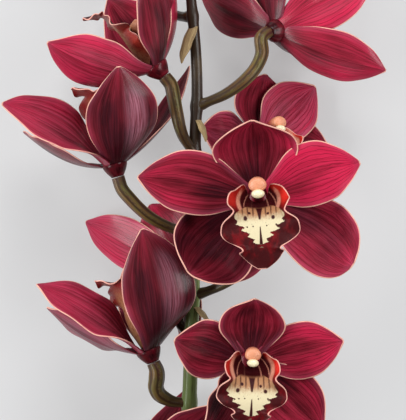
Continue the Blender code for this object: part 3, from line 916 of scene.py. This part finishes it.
@dataclass
class Skin:
    """A mesh being built from curved sheets and tubes, with the numbers that its finish reads."""

    name: str
    shape: bmesh.types.BMesh = field(init=False)

    def __post_init__(self) -> None:
        """Start the mesh with its layers."""
        self.shape = bmesh.new()
        self.shape.loops.layers.uv.new("UVMap")
        for layer in LAYERS:
            self.shape.verts.layers.float.new(layer)

    def grid(self, columns: int, rows: int) -> tuple[list[bmesh.types.BMVert], np.ndarray, np.ndarray]:
        """Add a flat grid.

        Args:
            columns: Cells across.
            rows: Cells along.

        Returns:
            The grid's points, their places across from -1 to 1, and their rows.
        """
        sizes = {"x_segments": columns, "y_segments": rows, "size": 1.0}
        made = bmesh.ops.create_grid(self.shape, calc_uvs=True, **sizes)["verts"]
        flat = np.array([point.co[:2] for point in made])
        return made, -flat[:, 0], np.rint((flat[:, 1] + 1.0) / 2.0 * rows).astype(int)

    def place(
        self, points: list[bmesh.types.BMVert], where: np.ndarray, **numbers: np.ndarray | float
    ) -> None:
        """Move points to their places and store their numbers.

        Args:
            points: The points.
            where: Their places in millimetres.
            numbers: Values for the layers, one for all or one for each point.
        """
        placed = (where + ORIGIN) * MM
        for point, spot in zip(points, placed):
            point.co = spot
        for name, values in numbers.items():
            layer = self.shape.verts.layers.float[name]
            for point, value in zip(points, np.broadcast_to(values, len(points))):
                point[layer] = float(value)

    def sheet(self, blade: "Sheet", columns: int, tone: float, veil: float = 0.0, wax: float = 0.0) -> None:
        """Add a curved sheet.

        Args:
            blade: The sheet's rows.
            columns: Cells across.
            tone: A number from 0 to 1 that varies its finish.
            veil: The share of painted pink sheen over its colour.
            wax: The share of painted highlight over its back.
        """
        points, u, row = self.grid(columns, len(blade.mid) - 1)
        where, margin = blade.points(u, row)
        along = row / (len(blade.mid) - 1)
        places = {"across": u, "along": along, "lateral": u * blade.half[row], "reach": blade.length * along}
        self.place(points, where, margin=margin, tone=tone, veil=veil, wax=wax, **places)

    def tube(
        self,
        line: np.ndarray,
        radii: np.ndarray,
        start: np.ndarray | Point,
        columns: int,
        tone: float = 0.5,
        section: Section | None = None,
    ) -> None:
        """Add a closed tube along a line.

        Args:
            line: The centreline in millimetres.
            radii: The radius at each point of it.
            start: A direction near the first cross axis.
            columns: Cells round.
            tone: A number from 0 to 1 that varies its finish.
            section: Gives the share of the radius from the turn and the share of the length.
        """
        rows = len(line) - 1
        points, u, row = self.grid(columns, rows)
        _, first, second = carried_axes(line, start)
        turn = (u + 1.0) * math.pi
        along = row / rows
        radius = radii[row] * (section(turn, along) if section else 1.0)
        ring = first[row] * np.cos(turn)[:, None] + second[row] * np.sin(turn)[:, None]
        where = line[row] + ring * radius[:, None]
        self.place(points, where, across=(u + 1.0) / 2.0, along=along, tone=tone, margin=NO_MARGIN)
        seam = [point for point, place in zip(points, u) if abs(abs(place) - 1.0) < 1e-6]
        bmesh.ops.remove_doubles(self.shape, verts=seam, dist=1e-7)
        rim = [edge for edge in self.shape.edges if edge.is_boundary]
        bmesh.ops.holes_fill(self.shape, edges=rim, sides=0)

    def build(self, materials: tuple[Material, ...], slot: str, *nodes: str, wall: float = 0.0) -> None:
        """Finish the mesh as a piece that rides on the stem.

        Args:
            materials: The piece's materials.
            slot: A material slot's name, handed to seat, which does not use it.
            nodes: The nodes that it replaces.
            wall: A sheet's thickness in millimetres, or 0 for a closed piece.
        """
        mesh = bpy.data.meshes.new(self.name)
        self.shape.to_mesh(mesh)
        self.shape.free()
        mesh.polygons.foreach_set("use_smooth", [True] * len(mesh.polygons))
        for material in materials:
            mesh.materials.append(material)
        made = bpy.data.objects.new(self.name, mesh)
        bpy.context.scene.collection.objects.link(made)
        if wall:
            thicken(made, wall)
        seat(made, slot, *nodes)


def thicken(piece: bpy.types.Object, thickness: float) -> None:
    """Give a sheet its thickness and a rounded edge.

    Args:
        piece: The sheet; its second material goes on its back and its third on its rim.
        thickness: The thickness in millimetres.
    """
    wall = piece.modifiers.new("wall", "SOLIDIFY")
    wall.thickness = thickness * MM
    wall.offset = 0.0
    wall.use_rim = True
    wall.material_offset = 1 if len(piece.data.materials) > 1 else 0
    wall.material_offset_rim = 2 if len(piece.data.materials) > 2 else 0
    smooth = piece.modifiers.new("smooth", "SUBSURF")
    smooth.levels = 1
    smooth.render_levels = 1


def seat(piece: bpy.types.Object, slot: str, *nodes: str) -> None:
    """Let a piece ride on the stem and hide any nodes that it replaces.

    Args:
        piece: The piece.
        slot: Not used.
        nodes: The nodes that it replaces.
    """
    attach(piece, BODY)
    if nodes:
        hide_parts(*nodes)


@dataclass
class Sheet:
    """The rows of a curved sheet: a midline with its axes, half-widths and half-angles."""

    mid: np.ndarray
    across: np.ndarray
    face: np.ndarray
    half: np.ndarray
    arc: np.ndarray
    rest: float = 0.4
    groove: float = 0.0
    wave: float = 0.0
    waves: float = 2.0
    phase: float = 0.0
    curls: tuple[tuple[float, float, float], ...] = ()

    @property
    def length(self) -> float:
        """Length of the midline."""
        return float(np.linalg.norm(np.diff(self.mid, axis=0), axis=1).sum())

    def points(self, u: np.ndarray, row: np.ndarray) -> tuple[np.ndarray, np.ndarray]:
        """Work out where the sheet's points lie.

        Args:
            u: Places across, from -1 to 1.
            row: Row numbers.

        Returns:
            The points, and their distances from the margin, in millimetres.
        """
        arc = np.maximum(self.arc[row], 0.01) * np.sign(self.arc[row] + 1e-9)
        half = self.half[row]
        share = row / (len(self.mid) - 1)
        side = half * np.sin(arc * u) / arc
        lift = half * (1.0 - np.cos(arc * u)) / arc
        lift -= self.groove * np.exp(-((u / 0.07) ** 2)) * np.sin(np.pi * np.clip(share, 0.0, 1.0))
        swing = self.wave * np.abs(u) ** 3 * np.clip(share * 3.0, 0.0, 1.0)
        lift += swing * np.sin(math.tau * self.waves * share + self.phase + np.where(u > 0, 1.7, 0.0))
        for centre, breadth, height in self.curls:
            lift += height * np.abs(u) ** 4 * np.exp(-(((share - centre) / breadth) ** 2))
        where = self.mid[row] + self.across[row] * side[:, None] + self.face[row] * lift[:, None]
        tip = self.length * (1.0 - share)
        margin = np.minimum(half * (1.0 - np.abs(u)), tip * 0.8)
        return pressed(where, self.rest), margin


@dataclass(frozen=True)
class Tepal:
    """One tepal: its tip from the bloom's centre, its width and how it is bent.

    Sizes are in millimetres and angles in degrees. Belly and hook bend the midline near the foot and
    near the tip, cup curves it across, roll turns the blade and bow swings it sideways. Depth moves
    its foot along the bloom's axis. Tone sets how bright its crimson is painted, partly its own depth
    of colour and partly painted light and shade, and seeds its noise; veil is its share of painted
    pink sheen and wax its share of painted highlight down its back.
    """

    tip: Point
    width: float
    belly: float = 5.0
    hook: float = 4.0
    cup: float = 28.0
    roll: float = 0.0
    form: Form = Form.SEPAL
    tone: float = 0.4
    bow: float = 0.0
    depth: float = 0.4
    veil: float = 0.06
    wax: float = 0.12


def petal(*sizes: object, **more: float) -> Tepal:
    """Describe a petal by its sizes in order."""
    return Tepal(*sizes, form=Form.PETAL, **more)


@dataclass
class Bloom:
    """One flower: receptacle, five tepals, lip, column and stalk."""

    number: int
    centre: Point
    facing: Point
    joint: float
    stalk: tuple[Point, ...]
    stalk_radius: float
    dorsal: Tepal
    petals: tuple[Tepal, Tepal]
    sepals: tuple[Tepal, Tepal]
    lip: LipPose = LipPose.CLOSED
    size: float = 1.0
    tepal_rows: int = 26
    tepal_columns: int = 14

    @property
    def label(self) -> str:
        """The start of the bloom's node names."""
        return f"bloom_{self.number:02d}"

    @property
    def axes(self) -> tuple[np.ndarray, np.ndarray, np.ndarray, np.ndarray]:
        """The centre, and the forward, up and right axes."""
        forward = unit(self.facing)
        rise = np.asarray(self.dorsal.tip, dtype=float)
        up = unit(rise - forward * rise.dot(forward))
        return np.asarray(self.centre, dtype=float), forward, up, np.cross(up, forward)

    def tepal_sheet(self, tepal: Tepal, order: int) -> Sheet:
        """Work out one tepal's rows.

        Args:
            tepal: The tepal.
            order: Its number in the bloom, which varies its waves.

        Returns:
            The rows.
        """
        centre, forward, _, _ = self.axes
        tip = np.asarray(tepal.tip, dtype=float)
        out = unit(tip - forward * tip.dot(forward))
        start = centre + out * CLAW_AT * self.size + forward * tepal.depth
        end = centre + tip
        chord = end - start
        across = unit(np.cross(forward, chord))
        face = unit(np.cross(chord, across))
        knee = start + chord / 3.0 - face * tepal.belly * 4.0 / 3.0
        bend = start + chord * 2.0 / 3.0 - face * tepal.hook * 4.0 / 3.0
        share = even(self.tepal_rows + 1)
        share = share + 0.09 * np.sin(np.pi * share) ** 2 * share
        s = share[:, None]
        r = 1 - s
        mid = start * r**3 + 3 * knee * s * r**2 + 3 * bend * s**2 * r + end * s**3
        mid = mid + across * tepal.bow * np.sin(np.pi * s)
        slope = 3 * (knee - start) * r**2 + 6 * (bend - knee) * s * r + 3 * (end - bend) * s**2
        slope /= np.linalg.norm(slope, axis=1)[:, None]
        normal = np.cross(slope, across[None, :])
        turn = math.radians(tepal.roll) * np.clip(s / 0.4, 0.0, 1.0)
        return Sheet(
            mid=mid,
            across=across[None, :] * np.cos(turn) + normal * np.sin(turn),
            face=normal * np.cos(turn) - across[None, :] * np.sin(turn),
            half=np.maximum(table(tepal.form.value, share) * tepal.width / 2.0, LEAST_HALF),
            arc=math.radians(tepal.cup) * (1.0 - 0.45 * share**2),
            groove=TEPAL_GROOVE,
            wave=TEPAL_WAVE,
            waves=1.6 + 0.3 * order,
            phase=self.number + 2.1 * order,
        )

    def build_tepals(self, finishes: Finishes) -> None:
        """Build and dress the five tepals as one piece.

        Args:
            finishes: The materials.
        """
        skin = Skin(f"{self.label}_petals")
        for order, tepal in enumerate((self.dorsal, *self.petals, *self.sepals)):
            blade = self.tepal_sheet(tepal, order)
            skin.sheet(blade, self.tepal_columns, tepal.tone, tepal.veil, tepal.wax)
        skin.build(finishes.tepal, "tepal_skin", f"{self.label}_tepals", wall=TEPAL_WALL)

    def midline(self, path: Rows, gap: float, share: np.ndarray) -> np.ndarray:
        """Run a path in the bloom's middle plane.

        Args:
            path: Its points, forward along the bloom's axis and up.
            gap: The gap between its foot and the receptacle.
            share: Shares of its length to read at.

        Returns:
            One point for each share.
        """
        centre, forward, up, _ = self.axes
        stations = np.array([(ahead, rise, 0.0) for ahead, rise in path], dtype=float)
        stations[1:] *= self.size
        flat = spline(stations, share)
        flat[0, 0] = HUB[-1][0] + gap
        return centre + flat[:, :1] * forward + flat[:, 1:2] * up

    def build_receptacle(self, finishes: Finishes) -> None:
        """Build and dress the receptacle.

        Args:
            finishes: The materials.
        """
        centre, forward, up, _ = self.axes
        share = even(HUB_GRID[0])
        profile = spline(tuple((along, radius, 0.0) for along, radius in HUB), share)
        grow = np.where(profile[:, 0] > -5.0, self.size, 1.0)
        skin = Skin(f"{self.label}_receptacle")
        skin.tube(centre + profile[:, :1] * forward, profile[:, 1] * grow * 0.97, up, HUB_GRID[1], tone=0.3)
        skin.build((finishes.tepal[1],), "tepal_skin")

    def build_lip(self, finishes: Finishes) -> None:
        """Build and dress the lip.

        Args:
            finishes: The materials.
        """
        _, forward, up, right = self.axes
        share = even(LIP_GRID[0])
        mid = self.midline(self.lip.value, LIP_SEAT, share)
        slope = np.gradient(mid, axis=0)
        slope /= np.linalg.norm(slope, axis=1)[:, None]
        slope[0] = forward
        face = np.cross(right[None, :], slope)
        if face[0].dot(up) < 0:
            face = -face
        spread = self.size * (1.0 if self.lip is LipPose.OPEN else 0.85)
        blade = Sheet(
            mid=mid,
            across=np.repeat(right[None, :], len(share), axis=0),
            face=face,
            half=table(LIP_HALF, share) * spread,
            arc=np.radians(table(LIP_ARC, share)),
            rest=0.45,
            wave=0.9,
            waves=6.0,
            phase=0.6 * self.number,
            curls=LIP_CURLS,
        )
        skin = Skin(f"{self.label}_labellum")
        skin.sheet(blade, LIP_GRID[1], 0.5 + 0.05 * self.number)
        skin.build(finishes.lip, "lip_skin", f"{self.label}_lip", wall=LIP_WALL)

    def build_column(self, finishes: Finishes) -> None:
        """Build and dress the column with its hood and anther cap.

        Args:
            finishes: The materials.
        """
        share = even(COLUMN_GRID[0])
        line = self.midline(COLUMN_PATH, SEAT, share)
        radii = np.interp(share, even(len(COLUMN_RADII)), COLUMN_RADII) * self.size
        radii = radii * np.where(share > 0.93, np.sqrt(np.clip((1.06 - share) / 0.13, 0.0, 1.0)), 1.0)

        def section(turn: np.ndarray, along: np.ndarray) -> np.ndarray:
            """Hollow the column's underside towards its tip."""
            under = np.clip(-np.sin(turn), 0.0, 1.0) ** 2
            return 1.0 + 0.10 * np.cos(turn) ** 2 * along - 0.42 * under * along**2

        skin = Skin(f"{self.label}_hood")
        skin.tube(line, radii, self.axes[3], COLUMN_GRID[1], section=section)
        skin.build((finishes.column,), "column_skin", f"{self.label}_column")
        self.build_cap(finishes, line[-1])

    def build_cap(self, finishes: Finishes, tip: np.ndarray) -> None:
        """Build and dress the anther cap.

        Args:
            finishes: The materials.
            tip: The column's tip.
        """
        _, forward, up, right = self.axes
        skin = Skin(f"{self.label}_anther")
        made = bmesh.ops.create_uvsphere(skin.shape, u_segments=20, v_segments=12, radius=1.0)["verts"]
        local = np.array([point.co[:] for point in made])
        wide, tall, deep = 3.2 * self.size, 2.2 * self.size, 2.6 * self.size
        dent = 1.0 - 0.16 * np.exp(-((local[:, 0] / 0.16) ** 2)) * np.clip(local[:, 2], 0.0, 1.0)
        heart = tip - up * 3.6 * self.size - forward * 0.8
        where = heart + right * (local[:, :1] * wide) + up * (local[:, 1:2] * tall)
        where = where + forward * (local[:, 2:3] * (deep * dent)[:, None])
        skin.place(made, where)
        bmesh.ops.recalc_face_normals(skin.shape, faces=skin.shape.faces)
        skin.build((finishes.cap,), "column_skin")

    def build_stalk(self, finishes: Finishes, stem: "Stem") -> None:
        """Build and dress the stalk.

        Args:
            finishes: The materials.
            stem: The stem that it grows from.
        """
        centre, forward, _, _ = self.axes
        end = centre + forward * (HUB[0][0] - SEAT)
        stalk = Stalk(self.number, self.joint, self.stalk, self.stalk_radius, HUB[0][1])
        stalk.build(finishes, stem, end, forward)

    def build(self, finishes: Finishes, stem: "Stem") -> None:
        """Build every piece of the bloom.

        Args:
            finishes: The materials.
            stem: The stem that it grows from.
        """
        self.build_stalk(finishes, stem)
        self.build_receptacle(finishes)
        self.build_tepals(finishes)
        self.build_lip(finishes)
        self.build_column(finishes)
        log.info("%s: five tepals, lip, column and stalk", self.label)


@dataclass
class Stalk:
    """A ribbed stalk from the stem to a bloom or a bud."""

    number: int
    joint: float
    points: tuple[Point, ...]
    radius: float
    top: float

    def build(self, finishes: Finishes, stem: "Stem", end: np.ndarray, axis: np.ndarray) -> None:
        """Build and dress the stalk.

        Args:
            finishes: The materials.
            stem: The stem that it grows from.
            end: The stalk's top.
            axis: The direction that it ends in.
        """
        stations = [stem.axis_point(self.joint), *[np.asarray(point, dtype=float) for point in self.points]]
        stations += [end - axis * 4.0, end]
        share = even(STALK_GRID[0])
        line = spline(spline(np.array(stations), even(STALK_POINTS)), share)
        foot = min(2.2, self.radius * 0.8)
        sizes = (foot, foot * 1.1, self.radius * 0.9, self.radius, self.top)
        radii = np.interp(share, (0.0, 0.12, 0.45, 0.8, 1.0), sizes)
        radii = np.convolve(np.pad(radii, 3, mode="edge"), np.ones(7) / 7.0, mode="valid")
        radii = radii + 0.7 * np.exp(-(((share - 0.045) / 0.05) ** 2))

        def ribs(turn: np.ndarray, along: np.ndarray) -> np.ndarray:
            """Raise ribs that fade at the foot."""
            return 1.0 + 0.055 * np.sin(STALK_RIBS * turn) * np.clip(along * 4.0, 0.0, 1.0)

        skin = Skin(f"stalk_{self.number:02d}")
        tone = (0.37 * self.number) % 1.0
        skin.tube(line, radii, (0.0, 0.0, 1.0), STALK_GRID[1], tone=tone, section=ribs)
        skin.build((finishes.stalk,), "pedicel_skin", f"pedicel_{self.number:02d}")


@dataclass
class Bud:
    """A closed bud with overlapping scales."""

    number: int
    foot: np.ndarray
    tip: Point
    radius: float

    def build(self, finishes: Finishes) -> None:
        """Build and dress the bud.

        Args:
            finishes: The materials.
        """
        share = even(BUD_GRID[0])
        tip = np.asarray(self.tip, dtype=float)
        line = self.foot + share[:, None] * (tip - self.foot)
        radii = table(BUD_GIRTH, share) * self.radius

        def scales(turn: np.ndarray, along: np.ndarray) -> np.ndarray:
            """Raise overlapping scales."""
            step = (turn * BUD_SCALES / math.tau + along * 0.15) % 1.0
            return 1.0 + 0.05 * (step - 0.5) * np.sin(np.pi * along)

        skin = Skin(f"closed_bud_{self.number}")
        skin.tube(line, radii, (0.0, 0.0, 1.0), BUD_GRID[1], section=scales)
        skin.build((finishes.bud,), "bud_skin", f"bud_{self.number}")


@dataclass(frozen=True)
class Bract:
    """A papery scale: its foot's height, its tip from the foot and its width."""

    joint: float
    tip: Point
    width: float


@dataclass
class Stem:
    """The rachis with its bracts."""

    stations: Rows = STEM
    bracts: tuple[Bract, ...] = (
        Bract(-165, (-9, -13, -2), 9),
        Bract(-124, (8, -12, 2), 8),
        Bract(-104, (-9, -11, 2), 9),
        Bract(-48, (7, -9, 4), 7),
        Bract(-18, (-8, -10, -3), 7),
        Bract(23, (-6, -10, 5), 6),
        Bract(46, (4, -12, 5), 5),
        Bract(92, (-5, -19, 5), 9),
        Bract(-195, (5, 30, 6), 13),
        Bract(-228, (-5, 32, 6), 14),
    )

    def axis_point(self, height: float) -> np.ndarray:
        """Find the stem's axis at a height along the spike.

        Args:
            height: The height.

        Returns:
            The point.
        """
        line = spline(self.stations, even(400))
        return np.array([np.interp(height, line[:, 1], line[:, column]) for column in range(3)])

    def build_rachis(self, finishes: Finishes, joints: tuple[float, ...]) -> None:
        """Build and dress the rachis.

        Args:
            finishes: The materials.
            joints: Heights of the joints, where it swells.
        """
        line = spline(spline(self.stations, even(STEM_POINTS)), even(STEM_GRID[0]))
        radii = line[:, 3].copy()
        for joint in joints:
            radii += 0.55 * np.exp(-(((line[:, 1] - joint) / 3.0) ** 2))

        def flutes(turn: np.ndarray, along: np.ndarray) -> np.ndarray:
            """Flute the rachis lightly."""
            return 1.0 + 0.02 * np.sin(STEM_FLUTES * turn + 3.0 * along)

        skin = Skin("rachis")
        skin.tube(line[:, :3], radii, (1.0, 0.0, 0.0), STEM_GRID[1], section=flutes)
        skin.build((finishes.stem,), "stem_skin", "stem")

    def build_bracts(self, finishes: Finishes) -> None:
        """Build and dress the bracts as one piece.

        Args:
            finishes: The materials.
        """
        skin = Skin("bracts")
        for order, bract in enumerate(self.bracts):
            skin.sheet(self.bract_sheet(bract), BRACT_GRID[1], (order * 0.37) % 1.0)
        skin.build((finishes.bract,), "stem_skin", wall=BRACT_WALL)

    def bract_sheet(self, bract: Bract) -> Sheet:
        """Work out one bract's rows.

        Args:
            bract: The bract.

        Returns:
            The rows.
        """
        foot = self.axis_point(bract.joint)
        away = unit((bract.tip[0], 0.0, bract.tip[2]))
        radius = 2.6 if bract.joint > 0 else 3.2
        start = foot + away * (radius - 1.0)
        end = foot + np.asarray(bract.tip, dtype=float) + away * 1.5
        share = even(BRACT_GRID[0])
        chord = end - start
        mid = start + share[:, None] * chord + np.sin(share * math.pi)[:, None] * away * 1.5
        return Sheet(
            mid=mid,
            across=np.repeat(unit(np.cross(chord, away))[None, :], len(share), axis=0),
            face=np.repeat(-away[None, :], len(share), axis=0),
            half=table(BRACT_WIDTH, share) * bract.width / 2.0,
            arc=np.radians(table(BRACT_ANGLE, share)),
            wave=0.4,
        )

    def build(self, finishes: Finishes, joints: tuple[float, ...]) -> None:
        """Build every piece of the stem.

        Args:
            finishes: The materials.
            joints: Heights of the joints.
        """
        self.build_rachis(finishes, joints)
        self.build_bracts(finishes)
        log.info("stem: rachis and %d bracts", len(self.bracts))


# Each tepal's tone sets how bright it is painted: partly its own depth of crimson, partly painted light and
# shade on the tepals that face or turn from the light.
BLOOMS = (
    Bloom(
        1, (-30, -130, 42), (-6, 5, 6), -158, ((-15, -150, 32), (-22, -141, 34)), 3.6,
        dorsal=Tepal((22, 38, -34), 30, 5, 4, 30, tone=0.3),
        petals=(petal((36, 34, 27), 28, 4, 3, 22, 60, tone=0.35), petal((-38, -14, 38), 30, 5, 3, 22)),
        sepals=(Tepal((-46, -4, -26), 32), Tepal((-12, -46, 12), 32)),
        size=0.9,
    ),
    Bloom(
        2, (23, -75, 68), (1, 0, 20), -118, ((3, -108, 42), (14, -98, 47), (21, -86, 52)), 3.6,
        dorsal=Tepal((2, 32, 14), 34, 5, 3, 25, tone=0.42),
        petals=(
            petal((-37, 12, 12), 30, 3, 2, 15, tone=0.46),
            petal((46, 11, 6), 29, 3, 2, 15, tone=0.75),
        ),
        sepals=(
            Tepal((-22, -36, 14), 30, 5, 4, 30, -40, tone=0.3),
            Tepal((36, -33, 6), 33, 5, 4, 22, tone=0.55),
        ),
        lip=LipPose.OPEN, size=0.9,
    ),
    Bloom(
        3, (-27, -71, 49), (-7, 17, 0), -97, ((-16, -96, 43), (-23, -91, 46)), 4.0,
        dorsal=Tepal((5, 52, -10), 34, 6, 5, 30),
        petals=(
            petal((-3, 62, 22), 38, 10, 6, 26, -38, tone=0.30, wax=0.55),
            petal((-10, 48, -25), 28, 5, 4, 28, 12),
        ),
        sepals=(
            Tepal((-56, 34, 8), 36, -3, -2, 22, -38, tone=0.80, veil=0.30),
            Tepal((-52, 22, -14), 28, 5, 4, 28, 40, tone=0.4, veil=0.5),
        ),
    ),
    Bloom(
        4, (-8, -31, 27), (-2, 6, -19), -64, ((-12, -56, 39), (-11, -46, 37), (-8, -38, 35)), 3.0,
        dorsal=Tepal((46, 16, -12), 30, 4, 3, 20),
        petals=(petal((-19, 34, -10), 32, 5, 3, 20, tone=0.6), petal((-2, -42, -14), 22, 4, 3, 16, 60)),
        sepals=(
            Tepal((-53, 25, -22), 27, 4, 3, 20, tone=0.95, veil=0.4),
            Tepal((-30, -32, -22), 28, 5, 3, 20),
        ),
        lip=LipPose.OPEN, size=0.85,
    ),
    Bloom(
        5, (27, 6, 76), (-1, 1, 40), -43, ((4, -40, 48), (14, -35, 52), (22, -28, 55), (26, -14, 58)), 2.6,
        dorsal=Tepal((-3, 37, 22), 44, 9, 8, 32, tone=0.52, depth=-2.6),
        petals=(
            petal((-59, 10, 8), 32, 2, 2, 15, tone=0.55, bow=-2, depth=2.8),
            petal((49, 17, 14), 32, 3, 2, 15, tone=1.10, bow=2.6, depth=3.2),
        ),
        sepals=(
            Tepal((-34, -37, 8), 46, 10, 9, 44, form=Form.SPOON, tone=0.22, depth=-0.8),
            Tepal((46, -33, 8), 37, 8, 5, 25, form=Form.SPOON, tone=0.6, bow=3, depth=-0.8, veil=0.2),
        ),
        lip=LipPose.OPEN, tepal_rows=34, tepal_columns=18,
    ),
    Bloom(
        6, (-44, 22, 48), (-5, 19, 0), -12, ((-16, -9, 45), (-26, -4, 47), (-35, 4, 48)), 3.2,
        dorsal=Tepal((37, 52, -28), 26, 6, 5, 26),
        petals=(
            petal((3, 48, 34), 38, 7, 5, 32, -15, tone=0.30, wax=0.75),
            petal((3, 36, -52), 34, 6, 4, 30),
        ),
        sepals=(
            Tepal((-56, 31, 10), 42, -4, -3, 22, -40, tone=0.80, veil=0.30),
            Tepal((-48, 18, -26), 32, 6, 4, 28, 25),
        ),
    ),
    Bloom(
        7, (29, 35, 20), (6, 3, 10), -6, ((4, 3, 40), (11, 20, 28)), 3.0,
        dorsal=Tepal((3, 35, -4), 34, 5, 4, 25, tone=0.5),
        petals=(
            petal((-30, 7, 10), 28, 6, 6, 34, tone=0.6, veil=0.4),
            petal((29, 29, -10), 32, 4, 3, 20, tone=0.9, veil=0.5),
        ),
        sepals=(Tepal((2, -38, -4), 28, 5, 4, 25), Tepal((37, -4, -10), 34, 5, 4, 25)),
        lip=LipPose.OPEN, size=0.85,
    ),
    Bloom(
        8, (-23, 71, 50), (-13, 15, 0), 28, ((-10, 37, 50), (-13, 48, 52), (-15, 58, 51)), 3.4,
        dorsal=Tepal((5, 52, -2), 28, 6, 5, 30, tone=0.8),
        petals=(petal((-6, 50, 30), 32, 6, 5, 32, tone=0.45), petal((-26, 38, -38), 32, 6, 4, 30)),
        sepals=(
            Tepal((-54, 12, 14), 32, 6, 4, 30, 35, tone=0.9, veil=0.2),
            Tepal((-46, 12, -34), 32, 6, 4, 30),
        ),
    ),
    Bloom(
        9, (36, 90, 42), (12, 3, -15), 52, ((13, 59, 49), (22, 66, 50), (29, 76, 49)), 3.4,
        dorsal=Tepal((-2, 48, -24), 34, 5, 4, 25),
        petals=(petal((-37, 22, -30), 28, 4, 3, 20, tone=0.5), petal((50, 28, 4), 30, 4, 3, 22, tone=1.0)),
        sepals=(Tepal((28, -8, -50), 28, 5, 4, 25), Tepal((56, -20, 2), 27, 6, 4, 28, tone=0.7)),
        size=0.95,
    ),
    Bloom(
        10, (-30, 147, 32), (-2, 9, 1), 97, ((-12, 98, 36), (-20, 103, 26), (-28, 122, 25)), 2.8,
        dorsal=Tepal((13, 52, -6), 30, 6, 5, 30),
        petals=(petal((-8, 45, 32), 32, 6, 5, 30), petal((-8, 42, -28), 32, 6, 4, 30)),
        sepals=(Tepal((-50, 24, 12), 32, 6, 5, 30), Tepal((-44, 18, -22), 32, 6, 4, 28)),
        size=0.9,
    ),
)

STALKED_BUD_FOOT = (5, 142, 50)
STALKED_BUD_TIP = (15, 166, 52)
STALKED_BUD_STALK = Stalk(11, 128, ((-2, 134, 48),), 1.8, 1.8)
LAST_BUD_TIP = (-7, 180, 46)


@dataclass
class Studio:
    """The pale floor, the soft lights and the camera, in metres.

    A light has its name, its place, its width and height, and its power in watts.
    """

    distance: float = 1.2
    spray_height: float = 0.049
    picture_height: float = 0.210
    sensor: float = 36.0
    floor_size: float = 3.0
    floor_drop: float = 0.0002
    lights: tuple[tuple[str, Point, tuple[float, float], float], ...] = (
        ("left_softbox", (-0.68, 0.02, 0.60), (0.95, 0.28), 7.4),
        ("right_softbox", (0.66, 0.05, 0.66), (0.95, 0.28), 5.6),
        ("top_softbox", (0.05, 0.85, 0.75), (0.70, 0.50), 6.0),
    )

    def build_floor(self) -> None:
        """Lay the floor."""
        shape = bmesh.new()
        bmesh.ops.create_grid(shape, x_segments=1, y_segments=1, size=self.floor_size)
        bmesh.ops.translate(shape, verts=shape.verts, vec=(0.0, 0.0, -self.floor_drop))
        mesh = bpy.data.meshes.new("floor")
        shape.to_mesh(mesh)
        shape.free()
        mesh.materials.append(FloorFinish().make())
        floor = bpy.data.objects.new("floor", mesh)
        bpy.context.scene.collection.objects.link(floor)

    def add_light(self, name: str, where: Point, size: tuple[float, float], power: float) -> None:
        """Hang a soft box light that faces the spray.

        Args:
            name: The light's name.
            where: Its place in metres.
            size: Its width and its height in metres.
            power: Its power in watts.
        """
        data = bpy.data.lights.new(name, "AREA")
        data.shape = "RECTANGLE"
        data.size, data.size_y = size
        data.energy = power
        lamp = bpy.data.objects.new(name, data)
        lamp.location = where
        aim = Vector((0.0, where[1] * 0.6, self.spray_height)) - Vector(where)
        lamp.rotation_euler = aim.to_track_quat("-Z", "Y").to_euler()
        bpy.context.scene.collection.objects.link(lamp)

    def build_lights(self) -> None:
        """Hang the lights and set the surroundings."""
        for light in self.lights:
            self.add_light(*light)
        world = bpy.data.worlds.new("studio")
        world.use_nodes = True
        backdrop = world.node_tree.nodes["Background"]
        backdrop.inputs["Color"].default_value = (0.93, 0.95, 1.0, 1.0)
        backdrop.inputs["Strength"].default_value = 0.16
        bpy.context.scene.world = world

    def build_camera(self) -> None:
        """Set the camera above the picture's middle, looking straight down."""
        data = bpy.data.cameras.new("camera")
        data.sensor_width = self.sensor
        data.lens = self.sensor * self.distance / self.picture_height
        data.clip_start = 0.05
        data.clip_end = 20.0
        camera = bpy.data.objects.new("camera", data)
        camera.location = (ORIGIN[0] * MM, ORIGIN[1] * MM, self.distance + self.spray_height)
        bpy.context.scene.collection.objects.link(camera)
        bpy.context.scene.camera = camera

    def build(self) -> None:
        """Build the whole studio."""
        self.build_floor()
        self.build_lights()
        self.build_camera()
        bpy.context.scene.view_settings.view_transform = "Standard"
        log.info("studio: floor, three soft lights and camera")


def build_buds(finishes: Finishes, stem: Stem) -> None:
    """Build the stalked bud and the bud at the spike's end.

    Args:
        finishes: The materials.
        stem: The stem that they grow from.
    """
    foot = np.asarray(STALKED_BUD_FOOT, dtype=float)
    Bud(11, foot, STALKED_BUD_TIP, 6.0).build(finishes)
    axis = unit(np.asarray(STALKED_BUD_TIP, dtype=float) - foot)
    STALKED_BUD_STALK.build(finishes, stem, foot - axis * SEAT, axis)
    line = spline(STEM, even(STEM_POINTS))[:, :3]
    Bud(12, line[-1] + unit(line[-1] - line[-2]) * (SEAT + 0.1), LAST_BUD_TIP, 4.5).build(finishes)
    log.info("buds: one on a stalk and one at the spike's end")


def main() -> None:
    """Dress the whole part."""
    logging.basicConfig(level=logging.INFO, format="%(name)s: %(message)s")
    finishes = Finishes()
    stem = Stem()
    stem.build(finishes, tuple(bloom.joint for bloom in BLOOMS))
    for bloom in BLOOMS:
        bloom.build(finishes, stem)
    build_buds(finishes, stem)
    Studio().build()


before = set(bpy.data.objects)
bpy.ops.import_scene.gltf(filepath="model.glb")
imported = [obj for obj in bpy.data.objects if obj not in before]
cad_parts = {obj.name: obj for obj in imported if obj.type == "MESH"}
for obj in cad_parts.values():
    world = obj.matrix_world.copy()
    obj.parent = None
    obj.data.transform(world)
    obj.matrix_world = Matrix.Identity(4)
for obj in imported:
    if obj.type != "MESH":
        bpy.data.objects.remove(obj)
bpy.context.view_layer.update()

if __name__ == "__main__":
    main()
